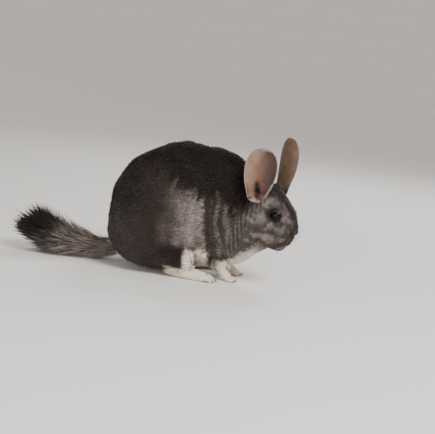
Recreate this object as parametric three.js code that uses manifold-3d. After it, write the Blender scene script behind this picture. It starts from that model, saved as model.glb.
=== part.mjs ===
// A sitting chinchilla, life size, in millimetres: x runs forward along the body, y to the animal's left, z up.
// The plush coat's outer surface is one soft field of named round forms. It is parted by thin cuts into head,
// neck, torso and thighs. Ears, eyes, legs, feet and the bushy tail are solids of their own, set on that surface.
import * as THREE from "three";
import { mergeVertices } from "three/addons/utils/BufferGeometryUtils.js";
import Module from "manifold-3d";

const wasm = await Module();
wasm.setup();

// Driving sizes
const GAP = 0.3; // between neighbouring solids
const BODY_SOFTNESS = 4.5; // how far the forms of the body melt into each other
const HEAD_SOFTNESS = 1.9;
const BELLY_CLEARANCE = 2.2; // the underside of the body hangs this far over the ground

// Where the head is and how it is held: turned to the animal's right, nose down
const HEAD_AT = [97, -20, 81]; // the middle between the eyes
const HEAD_TURN = 25; // degrees
const HEAD_DROP = 23;
const HEAD_LEAN = 0;

// Round forms of the trunk: centre and half sizes
const TRUNK = {
  rump: { at: [-37, 0, 66], size: [56, 51, 63] },
  seat: { at: [-52, 0, 37], size: [40, 40, 31] },
  back: { at: [-12, 0, 83], size: [57, 46, 59] },
  shoulders: { at: [22, -1, 82], size: [38, 41, 57] },
  belly: { at: [4, 0, 37], size: [46, 34, 30] },
  chest: { at: [46, -5, 46], size: [28, 25, 29] },
  nape: { at: [38, -4, 102], size: [22, 27, 29] },
  throat: { at: [67, -12, 63], size: [24, 25, 29] },
};
const HAUNCH = { at: [-38, 30, 47], size: [46, 28, 42] };
const KNEE = { at: [-2, 38, 21], size: [17, 12, 16] };

// Round forms of the head, from the middle between the eyes: forward, left, up
const SKULL = {
  crown: { at: [-17, 0, 0], size: [25, 21, 20] },
  forehead: { at: [2, 0, 0], size: [18, 13.5, 12.5] },
  bridge: { at: [13, 0, -4.5], size: [13, 7.8, 8] },
  muzzle: { at: [11, 0, -18], size: [13, 9.5, 14.5] },
  chin: { at: [10.5, 0, -29.5], size: [11, 8.5, 7.8] },
  jaw: { at: [-8, 0, -21], size: [19, 15, 17] },
  earBaseLeft: { at: [-25, 13, 10], size: [10, 8, 11] },
  earBaseRight: { at: [-25, -15.5, 6], size: [10, 8, 11] },
};
const CHEEK = { at: [-6, 13, -14], size: [17, 12, 16] };
const WHISKER_PAD = { at: [13, 7, -18.5], size: [10, 7.5, 11.5] };
const ORBIT = { at: [0.5, 10.5, 0.5], size: [10.5, 5.2, 9.5] };

const EYE = { radius: 6.4, outward: [0.3, 1, 0.1], sunk: 3.5, opening: 5.8, lid: 1.5 };
const NOSE = { at: [24.4, 0, -7], size: [2.8, 4.4, 3] };
const NOSTRIL = { at: [26.8, 2.5, -7.8], size: [1.7, 1.1, 1.4] };

const up = new THREE.Vector3(0, 0, 1);
const degrees = THREE.MathUtils.degToRad;
const vector = (values) => new THREE.Vector3(...values);

const headFrame = new THREE.Matrix4().compose(
  vector(HEAD_AT),
  new THREE.Quaternion().setFromEuler(
    new THREE.Euler(degrees(HEAD_LEAN), degrees(HEAD_DROP), degrees(-HEAD_TURN), "ZYX"),
  ),
  vector([1, 1, 1]),
);
const toHead = headFrame.clone().invert();
const onHead = (values) => vector(values).applyMatrix4(headFrame);

// Fields: a function of a point that is negative inside and close to a distance near the surface
function roundForm({ at, size }) {
  return (p) => {
    const dx = p.x - at[0];
    const dy = p.y - at[1];
    const dz = p.z - at[2];
    const share = Math.hypot(dx / size[0], dy / size[1], dz / size[2]);
    const slope = Math.hypot(dx / size[0] ** 2, dy / size[1] ** 2, dz / size[2] ** 2);
    return slope < 1e-9 ? -Math.min(...size) : (share * (share - 1)) / slope;
  };
}

const mirrored = (form) => ({ ...form, at: [form.at[0], -form.at[1], form.at[2]] });
const pair = (form) => [form, mirrored(form)];

function melted(fields, softness) {
  return (p) => {
    const sum = fields.reduce((total, field) => total + Math.exp(-field(p) / softness), 0);
    return -softness * Math.log(sum);
  };
}

const trunk = melted(
  [...Object.values(TRUNK), ...pair(HAUNCH), ...pair(KNEE)].map(roundForm),
  BODY_SOFTNESS,
);
const skull = melted(
  [...Object.values(SKULL), ...pair(CHEEK), ...pair(WHISKER_PAD), ...pair(ORBIT)].map(roundForm),
  HEAD_SOFTNESS,
);
const headField = (p) => skull(p.clone().applyMatrix4(toHead));
const coat = (p) =>
  Math.max(melted([trunk, headField], BODY_SOFTNESS)(p), BELLY_CLEARANCE - p.z);

// Solids
function solidOf(geometry) {
  const bare = new THREE.BufferGeometry();
  bare.setAttribute("position", geometry.getAttribute("position"));
  if (geometry.index) bare.setIndex(geometry.index);
  const merged = mergeVertices(bare, 1e-4);
  return new wasm.Manifold(
    new wasm.Mesh({
      numProp: 3,
      vertProperties: Float32Array.from(merged.attributes.position.array),
      triVerts: Uint32Array.from(merged.index.array),
    }),
  );
}

function geometryOf(solid) {
  const { vertProperties, triVerts } = solid.getMesh();
  const geometry = new THREE.BufferGeometry();
  geometry.setAttribute("position", new THREE.BufferAttribute(vertProperties, 3));
  geometry.setIndex(new THREE.BufferAttribute(triVerts, 1));
  return geometry;
}

// The solid with every vertex moved out along its normal.
function grown(solid, by = GAP) {
  const geometry = geometryOf(solid);
  geometry.computeVertexNormals();
  const { position, normal } = geometry.attributes;
  for (let i = 0; i < position.count; i++) {
    position.setXYZ(
      i,
      position.getX(i) + normal.getX(i) * by,
      position.getY(i) + normal.getY(i) * by,
      position.getZ(i) + normal.getZ(i) * by,
    );
  }
  return solidOf(geometry);
}

const joined = (solids) => wasm.Manifold.union(solids);

// The room a solid with sharp edges takes up, with the gap on every side.
const WAYS = [[1, 0, 0], [-1, 0, 0], [0, 1, 0], [0, -1, 0], [0, 0, 1], [0, 0, -1]];
const withGap = (solid) =>
  joined([grown(solid), ...WAYS.map((way) => solid.translate(way.map((part) => part * GAP)))]);
const largest = (solid) => solid.decompose().sort((a, b) => b.volume() - a.volume())[0];

// Where a ray from inside a field leaves it.
function surfacePoint(field, centre, direction) {
  const point = centre.clone();
  for (let step = 0; step < 60; step++) point.addScaledVector(direction, -0.85 * field(point));
  return point;
}

// A round solid: the surface of a field, seen from a centre inside it.
function roundSolid(field, centre, detail) {
  const ball = new THREE.IcosahedronGeometry(1, detail);
  const { position } = ball.attributes;
  for (let i = 0; i < position.count; i++) {
    const ray = new THREE.Vector3().fromBufferAttribute(position, i).normalize();
    position.setXYZ(i, ...surfacePoint(field, centre, ray));
  }
  return solidOf(ball);
}

function ellipsoidSolid({ at, size }, detail = 3) {
  const ball = new THREE.IcosahedronGeometry(1, detail);
  ball.scale(...size);
  ball.translate(...at);
  return solidOf(ball);
}

// A closed skin over a row of rings with the same number of points; each end is closed on its middle.
function loft(rings) {
  const sides = rings[0].length;
  const points = rings.flat();
  const faces = [];
  for (let ring = 0; ring + 1 < rings.length; ring++) {
    for (let i = 0; i < sides; i++) {
      const a = ring * sides + i;
      const b = ring * sides + ((i + 1) % sides);
      faces.push(a, b, b + sides, a, b + sides, a + sides);
    }
  }
  for (const [ring, turn] of [[0, -1], [rings.length - 1, 1]]) {
    const middle = points.length;
    points.push(rings[ring].reduce((sum, p) => sum.add(p), new THREE.Vector3()).divideScalar(sides));
    for (let i = 0; i < sides; i++) {
      const a = ring * sides + i;
      const b = ring * sides + ((i + 1) % sides);
      faces.push(...(turn > 0 ? [a, b, middle] : [b, a, middle]));
    }
  }
  const geometry = new THREE.BufferGeometry().setFromPoints(points);
  geometry.setIndex(faces);
  const solid = solidOf(geometry);
  return solid.volume() < 0 ? solidOf(turnedOver(geometry)) : solid;
}

function turnedOver(geometry) {
  const index = geometry.index.array;
  for (let i = 0; i < index.length; i += 3) [index[i], index[i + 1]] = [index[i + 1], index[i]];
  return geometry;
}

// A tube through a few points, whose radius follows a few values; flat < 1 makes it lower than wide.
function limb(stops, radii, { sides = 10, steps = 12, flat = 1 } = {}) {
  const path = new THREE.CatmullRomCurve3(stops.map(vector));
  const rings = [];
  for (let step = 0; step <= steps; step++) {
    const t = step / steps;
    const place = t * (radii.length - 1);
    const low = Math.min(Math.floor(place), radii.length - 2);
    const radius = THREE.MathUtils.lerp(radii[low], radii[low + 1], place - low);
    const forward = path.getTangent(t);
    const side = new THREE.Vector3().crossVectors(up, forward);
    if (side.length() < 1e-3) side.set(0, 1, 0);
    side.normalize();
    const rise = new THREE.Vector3().crossVectors(forward, side);
    rings.push(
      Array.from({ length: sides }, (_, i) => {
        const angle = (i / sides) * 2 * Math.PI;
        return path
          .getPoint(t)
          .addScaledVector(side, Math.cos(angle) * radius)
          .addScaledVector(rise, Math.sin(angle) * radius * flat);
      }),
    );
  }
  return loft(rings);
}

const aboveGround = (solid) => solid.trimByPlane([0, 0, 1], 0);

// Trunk, neck and head: one surface, parted by two upright cuts
const NECK_CUT = { through: [36, 0, 80], turn: -4 }; // torso behind, neck in front
const HEAD_CUT = { through: [64, -8, 80], turn: -22 }; // neck behind, head in front
const cutNormal = ({ turn }) => vector([Math.cos(degrees(turn)), Math.sin(degrees(turn)), 0]);
const cutOffset = (cut) => cutNormal(cut).dot(vector(cut.through));
const inFront = (solid, cut) =>
  solid.trimByPlane(cutNormal(cut).toArray(), cutOffset(cut) + GAP / 2);
const behind = (solid, cut) =>
  solid.trimByPlane(cutNormal(cut).negate().toArray(), GAP / 2 - cutOffset(cut));
const SPARE = 13; // each piece is made this much too long before its cut
const beyond = (cut) => (p) => p.dot(cutNormal(cut)) - cutOffset(cut) - SPARE;
const before = (cut) => (p) => cutOffset(cut) - p.dot(cutNormal(cut)) - SPARE;
const clipped = (field, ...limits) => (p) => Math.max(field(p), ...limits.map((limit) => limit(p)));

let torso = behind(
  roundSolid(clipped(coat, beyond(NECK_CUT)), vector([-20, 0, 74]), 9),
  NECK_CUT,
);
const neck = behind(
  inFront(
    roundSolid(clipped(coat, before(NECK_CUT), beyond(HEAD_CUT)), vector([50, -6, 82]), 6),
    NECK_CUT,
  ),
  HEAD_CUT,
);
let head = inFront(
  roundSolid(clipped(coat, before(HEAD_CUT)), onHead([-8, 0, -8]), 9),
  HEAD_CUT,
);

// Thighs: the flank inside a round line becomes the thigh
const THIGH_LINE = { at: [-30, 64, 46], size: [52, 43, 52] };
const thighs = pair(THIGH_LINE).map((line) => {
  const cutter = ellipsoidSolid(line, 4);
  const thigh = torso.intersect(cutter);
  torso = torso.subtract(grown(cutter));
  return thigh;
});

// Eyes with their lids
const HAND = { left: 1, right: -1 };
function eyeAndLids(hand) {
  const way = vector([EYE.outward[0], EYE.outward[1] * hand, EYE.outward[2]]).normalize();
  const brow = surfacePoint(skull, vector([0, 4 * hand, 0]), way);
  const outward = way.clone().transformDirection(headFrame);
  const centre = brow.applyMatrix4(headFrame).addScaledVector(outward, -EYE.sunk);
  const ball = new THREE.IcosahedronGeometry(EYE.radius, 3);
  ball.translate(...centre);
  const ring = new THREE.TorusGeometry(EYE.opening, EYE.lid, 6, 18);
  ring.scale(1, 0.84, 1.3);
  const along = new THREE.Vector3().crossVectors(up, outward).normalize();
  const rise = new THREE.Vector3().crossVectors(outward, along);
  const place = new THREE.Matrix4().makeBasis(along, rise, outward);
  ring.applyMatrix4(place);
  ring.translate(...centre.clone().addScaledVector(outward, EYE.radius * 0.44));
  return { ball: solidOf(ball), lids: solidOf(ring) };
}
const eyes = Object.values(HAND).map(eyeAndLids);

// Nose, nostrils, the cleft lip and the line of the mouth
const skullPoint = (from, toward) => surfacePoint(skull, vector(from), vector(toward).normalize());
const placedOnHead = (solid) => {
  const geometry = geometryOf(solid);
  geometry.applyMatrix4(headFrame);
  return solidOf(geometry);
};
const MOUTH_CENTRE = [10, 0, -17];
const mouthDirection = (side, drop) => [1, side, drop];
const mouthLine = (sink, drop) =>
  [-1.05, -0.62, -0.25, 0, 0.25, 0.62, 1.05].map((side) => {
    const corner = Math.abs(side) ** 2 * 0.16;
    const point = skullPoint(MOUTH_CENTRE, mouthDirection(side, drop - corner));
    return point.add(vector(mouthDirection(side, drop)).normalize().multiplyScalar(sink)).toArray();
  });
const MOUTH_DROP = -0.52;
const nose = placedOnHead(ellipsoidSolid(NOSE, 2));
const lips = [MOUTH_DROP + 0.13, MOUTH_DROP - 0.15].map((drop) =>
  placedOnHead(limb(mouthLine(-1.3, drop), [0.8, 1.9, 2.1, 1.9, 0.8], { sides: 7, steps: 10 })),
);
const mouth = placedOnHead(
  limb(mouthLine(0.25, MOUTH_DROP), [0.4, 0.7, 0.7, 0.7, 0.4], { sides: 5, steps: 10 }),
);
const cleft = placedOnHead(
  limb(
    [0.25, 0, -0.25, -0.5].map((drop) => {
      const point = skullPoint(MOUTH_CENTRE, [1, 0, drop]);
      return point.add(vector([0.25, 0, 0])).toArray();
    }),
    [0.5, 0.6, 0.6],
    { sides: 6, steps: 6 },
  ),
);
const nostrils = pair(NOSTRIL).map((form) => placedOnHead(ellipsoidSolid(form, 2)));

head = joined([head, nose, ...lips, ...eyes.map(({ lids }) => lids)]);
head = head.subtract(joined([mouth, cleft, ...nostrils, ...eyes.map(({ ball }) => grown(ball))]));

// Ears: a bent egg-shaped paddle, the wide end up, whose lower end turns out into a lobe
const EAR = {
  halfWidth: 18.5,
  thickness: 1.6,
  baseWidth: 0.48, // share of the full width just above the lobe
  widest: 0.6, // share of the length
  roundness: 2.2,
  lobe: 0.1, // share of the length over which the lower end is rounded
  lobeReach: 0.25,
  lobeOut: 5.5, // the lobe turns out by this much
  baseCurl: 1.25, // radians either side of the middle
  tipCurl: 0.4,
  flare: 4, // the tip bends back by this much
};
function earShape(share) {
  if (share < EAR.widest) {
    const grow = Math.sin(((share / EAR.widest) * Math.PI) / 2);
    const rounded = Math.sqrt(1 - Math.max(1 - share / EAR.lobe, 0) ** 2);
    return (EAR.baseWidth + (1 - EAR.baseWidth) * grow) * rounded;
  }
  const rest = (share - EAR.widest) / (1 - EAR.widest);
  return Math.max(1 - rest ** EAR.roundness, 0) ** (1 / EAR.roundness);
}
function earRing(share, length, sides) {
  const halfWidth = Math.max(EAR.halfWidth * earShape(share), 1.3);
  const curl = THREE.MathUtils.lerp(EAR.baseCurl, EAR.tipCurl, share ** 0.7);
  const radius = halfWidth / curl;
  const out = EAR.lobeOut * Math.max(1 - share / EAR.lobeReach, 0) ** 2 - EAR.flare * share ** 2;
  return Array.from({ length: sides }, (_, i) => {
    const angle = (i / sides) * 2 * Math.PI;
    const across = Math.cos(angle) * curl;
    const depth = radius + Math.sin(angle) * (EAR.thickness / 2);
    return vector([
      Math.sin(across) * depth,
      radius - Math.cos(across) * depth + out,
      share * length,
    ]);
  });
}
// Root on the head; where the tip points and where the cup opens, in the body's frame
const EARS = {
  left: { root: [-25, 17, 7], tip: [0.12, 0.3, 0.93], opens: [0.74, 0.67, 0], length: 64 },
  right: { root: [-24, -20.5, 3], tip: [0.09, -0.24, 0.96], opens: [0.08, -1, 0.1], length: 57 },
};
const EAR_ROWS = 13;
function earFrame({ root, tip, opens }) {
  const along = vector(tip).normalize();
  const cup = vector(opens);
  cup.addScaledVector(along, -cup.dot(along)).normalize();
  const across = new THREE.Vector3().crossVectors(cup, along);
  return new THREE.Matrix4().makeBasis(across, cup, along).setPosition(onHead(root));
}
function ear(form) {
  const rings = Array.from({ length: EAR_ROWS }, (_, i) => {
    const share = 0.499 - 0.499 * Math.cos((i / (EAR_ROWS - 1)) * Math.PI);
    return earRing(share, form.length, 16);
  });
  return loft(rings.map((ring) => ring.map((p) => p.applyMatrix4(earFrame(form)))));
}
// The ear's canal runs from the bottom of the cup into the head.
const CANAL = { up: 0.15, out: 4.5, radius: 3.6, inward: [5, 0.35, 1] };
function canal(form) {
  const { root, length } = form;
  const opening = vector([0, CANAL.out, CANAL.up * length]).applyMatrix4(earFrame(form));
  const [ahead, side, above] = CANAL.inward;
  const inner = onHead([root[0] + ahead, root[1] * side, root[2] + above]);
  return limb([opening.toArray(), inner.toArray()], [CANAL.radius, CANAL.radius * 0.7], {
    sides: 8,
    steps: 3,
  });
}
const canals = joined(Object.values(EARS).map(canal));
head = head.subtract(canals);
const headShell = grown(head);
const ears = {
  left: largest(ear(EARS.left).subtract(headShell).subtract(canals)),
  right: largest(ear(EARS.right).subtract(headShell).subtract(canals)),
};

// Feet and lower legs
const HIND_FOOT = { heel: [-20, 34, 4.5], toes: [26, 37, 4], width: 7.5 };
const FORE_FOOT = { elbow: [30, 20, 42], bend: [36, 20, 26], wrist: [41, 19, 11], palm: [49, 19, 3] };
const mirroredStop = (stop, hand) => [stop[0], stop[1] * hand, stop[2]];

function toe(root, spread, length, radius, hand) {
  const tip = [root[0] + length, root[1] + spread, radius * 0.75];
  const knuckle = [root[0] + length * 0.5, root[1] + spread * 0.55, root[2] + radius * 0.5];
  return limb([root, knuckle, tip].map((stop) => mirroredStop(stop, hand)),
    [radius * 1.05, radius, radius * 0.95, radius * 0.45], { sides: 6, steps: 4 });
}

function hindFoot(hand) {
  const { heel, toes, width } = HIND_FOOT;
  const arch = [(heel[0] + toes[0]) / 2, (heel[1] + toes[1]) / 2, 5.2];
  const sole = limb([heel, arch, toes].map((stop) => mirroredStop(stop, hand)),
    [2.6, 5.2, width * 0.9, width, width, width * 0.8], { sides: 10, steps: 8, flat: 0.8 });
  const spreads = [-4.6, -0.2, 4.4];
  const fingers = spreads.map((spread, i) =>
    toe([toes[0] - 3, toes[1] + spread * 0.75, 3], spread * 0.6, [12, 14, 11.5][i], 2.7, hand),
  );
  return aboveGround(joined([sole, ...fingers]));
}

function foreLeg(hand) {
  const { elbow, bend, wrist, palm } = FORE_FOOT;
  const arm = limb([elbow, bend, wrist, palm].map((stop) => mirroredStop(stop, hand)),
    [9.5, 8, 5.6, 4.8, 4.4], { sides: 8, steps: 6 });
  const spreads = [-4.2, -1.4, 1.6, 4.4];
  const fingers = spreads.map((spread, i) =>
    toe([palm[0] - 1, palm[1] + spread * 0.7, 1.6], spread * 0.5, [6, 8, 8, 6.5][i], 1.75, hand),
  );
  return aboveGround(joined([arm, ...fingers]));
}

const trunkShell = withGap(torso);
const thighShells = thighs.map(withGap);
const neckShell = withGap(neck);
const sides = Object.values(HAND);
const hindFeet = sides.map((hand, i) =>
  largest(hindFoot(hand).subtract(trunkShell).subtract(thighShells[i])),
);
const foreLegs = sides.map((hand) =>
  largest(foreLeg(hand).subtract(trunkShell).subtract(neckShell)),
);

// Tail
const TAIL_PATH = [
  [-78, 0, 16.5],
  [-97, -2, 10.8],
  [-116, -5, 9.2],
  [-136, -9, 11],
  [-154, -12, 16],
  [-169, -14, 23],
];
const TAIL_BARE = 0.22; // the share of the tail that carries only short fur
const tailCurve = new THREE.CatmullRomCurve3(TAIL_PATH.map(vector));
const stretch = (from, to, count) =>
  Array.from({ length: count }, (_, i) =>
    tailCurve.getPointAt(from + ((to - from) * i) / (count - 1)).toArray());
const tailBase = limb(stretch(0, TAIL_BARE, 5), [11, 9.5, 9.5], { sides: 14, steps: 7 })
  .subtract(trunkShell);
const tailCore = limb(stretch(TAIL_BARE + 0.004, 1, 8), [9.5, 9.5, 9, 7.5, 3.5], { sides: 14, steps: 12 });

let seed = 7;
function random() {
  seed = (seed * 16807) % 2147483647;
  return seed / 2147483647;
}
const between = (low, high) => low + (high - low) * random();

// A flat tapered lock: it leaves the tail at its root and bends back along it.
function lock(root, leave, settle, length, width) {
  const steps = 4;
  const rings = [];
  const place = root.clone();
  for (let step = 0; step <= steps; step++) {
    const t = step / steps;
    const heading = leave.clone().lerp(settle, t).normalize();
    const side = new THREE.Vector3().crossVectors(heading, leave.clone().sub(settle)).normalize();
    const face = new THREE.Vector3().crossVectors(side, heading);
    const half = width * (0.7 + 0.6 * t) * (1 - t ** 2.4) + 0.1;
    const thick = half * 0.38 + 0.08;
    rings.push([
      place.clone().addScaledVector(side, half),
      place.clone().addScaledVector(face, thick),
      place.clone().addScaledVector(side, -half),
      place.clone().addScaledVector(face, -thick),
    ]);
    place.addScaledVector(heading, length / steps);
  }
  return loft(rings);
}

const LOCK_ROWS = 8;
const LOCKS_IN_ROW = 8;
const LOCK = { short: 19, long: 34, narrow: 3.4, wide: 4.6, rooted: 4.5 };
function tailLocks() {
  const locks = [];
  for (let row = 0; row < LOCK_ROWS; row++) {
    const late = row / (LOCK_ROWS - 1);
    const along = THREE.MathUtils.lerp(TAIL_BARE + 0.02, 0.97, late);
    const middle = tailCurve.getPointAt(along);
    const tangent = tailCurve.getTangentAt(along);
    const side = new THREE.Vector3().crossVectors(up, tangent).normalize();
    const rise = new THREE.Vector3().crossVectors(tangent, side);
    for (let i = 0; i < LOCKS_IN_ROW; i++) {
      const angle = ((i + (row % 2) / 2 + between(-0.12, 0.12)) / LOCKS_IN_ROW) * 2 * Math.PI;
      const out = side.clone().multiplyScalar(Math.cos(angle)).addScaledVector(rise, Math.sin(angle));
      const top = Math.max(Math.sin(angle), 0);
      const under = Math.max(-Math.sin(angle), 0);
      const reach = THREE.MathUtils.lerp(LOCK.short, LOCK.long, late ** 0.7);
      const length = reach * (1 + 0.12 * top - 0.3 * under * (1 - late)) * between(0.9, 1.1);
      const leave = out.clone().multiplyScalar(0.5 + 0.6 * top - 0.1 * under).add(tangent).normalize();
      const spread = 0.1 + 0.3 * top * late - 0.1 * under;
      const settle = tangent.clone().addScaledVector(out, spread).addScaledVector(up, -0.22 * top).normalize();
      const root = middle.clone().addScaledVector(out, LOCK.rooted * (1 - 0.45 * late));
      locks.push(lock(root, leave, settle, length, between(LOCK.narrow, LOCK.wide)));
    }
  }
  return locks;
}
const tailBrush = largest(aboveGround(joined([tailCore, ...tailLocks()])).subtract(grown(tailBase)));

// The finished group, centred over the ground
const fur = new THREE.MeshStandardMaterial({ color: 0x4c4644, roughness: 0.95, metalness: 0 });
const paleFur = new THREE.MeshStandardMaterial({ color: 0xd8ccc0, roughness: 0.95, metalness: 0 });
const earSkin = new THREE.MeshStandardMaterial({ color: 0x9a8379, roughness: 0.7, metalness: 0 });
const eyeGloss = new THREE.MeshStandardMaterial({ color: 0x0c0706, roughness: 0.08, metalness: 0 });

const chinchilla = new THREE.Group();
function add(name, solid, material) {
  const mesh = new THREE.Mesh(geometryOf(largest(solid)), material);
  mesh.name = name;
  chinchilla.add(mesh);
}
add("torso", torso, fur);
add("neck", neck, fur);
add("head", head, fur);
Object.keys(HAND).forEach((hand, i) => {
  add(`thigh_${hand}`, thighs[i], fur);
  add(`eye_${hand}`, eyes[i].ball, eyeGloss);
  add(`ear_${hand}`, ears[hand], earSkin);
  add(`foreleg_${hand}`, foreLegs[i], paleFur);
  add(`hind_foot_${hand}`, hindFeet[i], paleFur);
});
add("tail_base", tailBase, fur);
add("tail_brush", tailBrush, fur);

const box = new THREE.Box3().setFromObject(chinchilla);
const middle = box.getCenter(new THREE.Vector3());
chinchilla.position.set(-middle.x, -middle.y, -box.min.z);

export default chinchilla;
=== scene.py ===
# %% [markdown]
# # A sitting chinchilla
# A chinchilla is a small rodent whose coat is so dense that the body under it is hardly ever seen. The looks
# are built from the inside out: a bare skin and the ears, then many thousand tufts that lie over the skin,
# then the brush of the tail, the eyes, the nose, the claws and the whiskers. Blender first loads the solids,
# so that every piece made here can be set in the same frame as they are.

# %% Load the solids
import math

import bmesh
import bpy
import numpy as np
from mathutils import Matrix, Vector


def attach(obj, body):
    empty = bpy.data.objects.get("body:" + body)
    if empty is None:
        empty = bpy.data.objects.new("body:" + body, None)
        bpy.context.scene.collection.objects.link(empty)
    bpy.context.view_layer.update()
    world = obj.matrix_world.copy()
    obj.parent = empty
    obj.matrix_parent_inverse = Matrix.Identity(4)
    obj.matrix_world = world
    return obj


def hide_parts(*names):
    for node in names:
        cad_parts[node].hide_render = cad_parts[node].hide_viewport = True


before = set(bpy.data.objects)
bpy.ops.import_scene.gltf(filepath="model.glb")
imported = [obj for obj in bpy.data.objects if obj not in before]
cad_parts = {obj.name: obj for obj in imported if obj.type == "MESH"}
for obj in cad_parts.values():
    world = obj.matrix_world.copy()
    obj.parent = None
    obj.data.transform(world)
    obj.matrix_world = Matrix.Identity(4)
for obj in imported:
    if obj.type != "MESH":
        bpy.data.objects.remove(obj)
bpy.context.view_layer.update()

print("solids:", ", ".join(sorted(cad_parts)))

# %% [markdown]
# ## Sizes
# The animal is measured in millimetres: x runs forward, y to its left, z up. Its middle is moved on by a
# constant so that the origin lies under the middle of the solids' box. The trunk and the head are soft heaps
# of round forms, each with a centre and half sizes, and the head's forms have a frame of their own, which is
# turned.

# %% Named sizes
MM = 0.001
ORIGIN = np.array([41.5, 0.0, 0.0])
BODY_SOFTNESS = 4.5
HEAD_SOFTNESS = 1.9
GROUND_CLEARANCE = 2.2

HEAD_AT = np.array([97.0, -20.0, 81.0])
HEAD_TURN = math.radians(25)
HEAD_DROP = math.radians(23)

TRUNK = {
    "rump": ((-37, 0, 66), (56, 51, 63)),
    "seat": ((-52, 0, 37), (40, 40, 31)),
    "back": ((-12, 0, 83), (57, 46, 59)),
    "shoulders": ((22, -1, 82), (38, 41, 57)),
    "belly": ((4, 0, 37), (46, 34, 30)),
    "chest": ((46, -5, 46), (28, 25, 29)),
    "nape": ((38, -4, 102), (22, 27, 29)),
    "throat": ((67, -12, 63), (24, 25, 29)),
    "haunch_left": ((-38, 30, 47), (46, 28, 42)),
    "haunch_right": ((-38, -30, 47), (46, 28, 42)),
    "knee_left": ((-2, 38, 21), (17, 12, 16)),
    "knee_right": ((-2, -38, 21), (17, 12, 16)),
}
SKULL = {
    "crown": ((-17, 0, 0), (25, 21, 20)),
    "forehead": ((2, 0, 0), (18, 13.5, 12.5)),
    "bridge": ((13, 0, -4.5), (13, 7.8, 8)),
    "muzzle": ((11, 0, -18), (13, 9.5, 14.5)),
    "chin": ((10.5, 0, -29.5), (11, 8.5, 7.8)),
    "jaw": ((-8, 0, -21), (19, 15, 17)),
    "ear_base_left": ((-25, 13, 10), (10, 8, 11)),
    "ear_base_right": ((-25, -15.5, 6), (10, 8, 11)),
    "cheek_left": ((-6, 13, -14), (17, 12, 16)),
    "cheek_right": ((-6, -13, -14), (17, 12, 16)),
    "whisker_pad_left": ((13, 7, -18.5), (10, 7.5, 11.5)),
    "whisker_pad_right": ((13, -7, -18.5), (10, 7.5, 11.5)),
    "orbit_left": ((0.5, 10.5, 0.5), (10.5, 5.2, 9.5)),
    "orbit_right": ((0.5, -10.5, 0.5), (10.5, 5.2, 9.5)),
}
SIDES = {"left": 1, "right": -1}
rng = np.random.default_rng(11)


def place(points):
    """Millimetres of the animal's own frame turned into metres of the shared frame."""
    return (np.asarray(points, float) + ORIGIN) * MM


forward = np.array([math.cos(HEAD_TURN) * math.cos(HEAD_DROP),
                    -math.sin(HEAD_TURN) * math.cos(HEAD_DROP),
                    -math.sin(HEAD_DROP)])
leftward = np.array([math.sin(HEAD_TURN), math.cos(HEAD_TURN), 0.0])
upward = np.cross(forward, leftward)
HEAD_AXES = np.stack([forward, leftward, upward])


def to_head(points):
    """The share of (point minus head centre) along forward, left and up."""
    return (np.asarray(points, float) - HEAD_AT) @ HEAD_AXES.T


def from_head(points):
    """Head centre plus forward, left and up, each times its share."""
    return HEAD_AT + np.asarray(points, float) @ HEAD_AXES


print("nose tip at", from_head([27, 0, -7]).round(1), "mm")

# %% [markdown]
# ## The skin as a field
# A field is a number for each point in space: below zero inside, above zero outside. Round forms melt into
# one another when their fields are joined by a soft minimum, as fur and muscle do. The coat's outer surface
# is where the field is zero, and the skin lies deeper by the coat's depth: thick on the trunk, thin on the
# face.

# %% Fields
def round_form(points, centre, size):
    """share * (share - 1) / slope, where share is the distance from the centre over the half sizes."""
    away = points - np.array(centre, float)
    size = np.array(size, float)
    share = np.linalg.norm(away / size, axis=-1)
    slope = np.linalg.norm(away / size**2, axis=-1)
    return share * (share - 1) / np.maximum(slope, 1e-6)


def melted(fields, softness):
    """Minus softness times the logarithm of the sum of exp(-field / softness)."""
    lowest = np.min(fields, axis=0)
    total = sum(np.exp((lowest - field) / softness) for field in fields)
    return lowest - softness * np.log(total)


def trunk_field(points):
    """The trunk's round forms melted together."""
    return melted([round_form(points, *form) for form in TRUNK.values()], BODY_SOFTNESS)


def skull_field(points):
    """The head's field for points given in the head's frame."""
    return melted([round_form(points, *form) for form in SKULL.values()], HEAD_SOFTNESS)


def coat_field(points):
    """Trunk and head melted together and cut off a little over the ground."""
    both = melted([trunk_field(points), skull_field(to_head(points))], BODY_SOFTNESS)
    return np.maximum(both, GROUND_CLEARANCE - points[..., 2])


def smooth(value, low, high):
    """0 below low, 1 above high, and an S-shaped rise 3t^2 - 2t^3 between them."""
    t = np.clip((value - low) / (high - low), 0, 1)
    return t * t * (3 - 2 * t)


def headness(points):
    """0 on the trunk and 1 on the head, from how far forward a point lies in the head's frame."""
    return smooth(to_head(points)[..., 0], -36, -16)


DEPTH_TRUNK = 6.0
DEPTH_HEAD = 1.4


def coat_depth(points):
    """The trunk's depth mixed with the head's, and thinner close to the ground."""
    depth = DEPTH_TRUNK + (DEPTH_HEAD - DEPTH_TRUNK) * headness(points)
    return depth * (0.45 + 0.55 * smooth(points[..., 2], 4, 26))


def skin_field(points):
    """The coat's field plus the coat's depth."""
    return coat_field(points) + coat_depth(points)


def ray_surface(field, centre, directions, steps=46):
    """Each ray walks on by 0.8 times the field until the field is zero."""
    points = np.broadcast_to(np.asarray(centre, float), directions.shape).copy()
    for _ in range(steps):
        points -= 0.8 * field(points)[..., None] * directions
    return points


print("coat depth on the back", coat_depth(np.array([0.0, 0, 140])).round(1), "mm")

# %% [markdown]
# ## Meshes from grids
# A surface with two parameters is a grid of points. Its faces join each point to its neighbours, round the
# seam where the grid is closed. The rows at both ends are closed with a fan on their middle, so nothing is
# left open.

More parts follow.
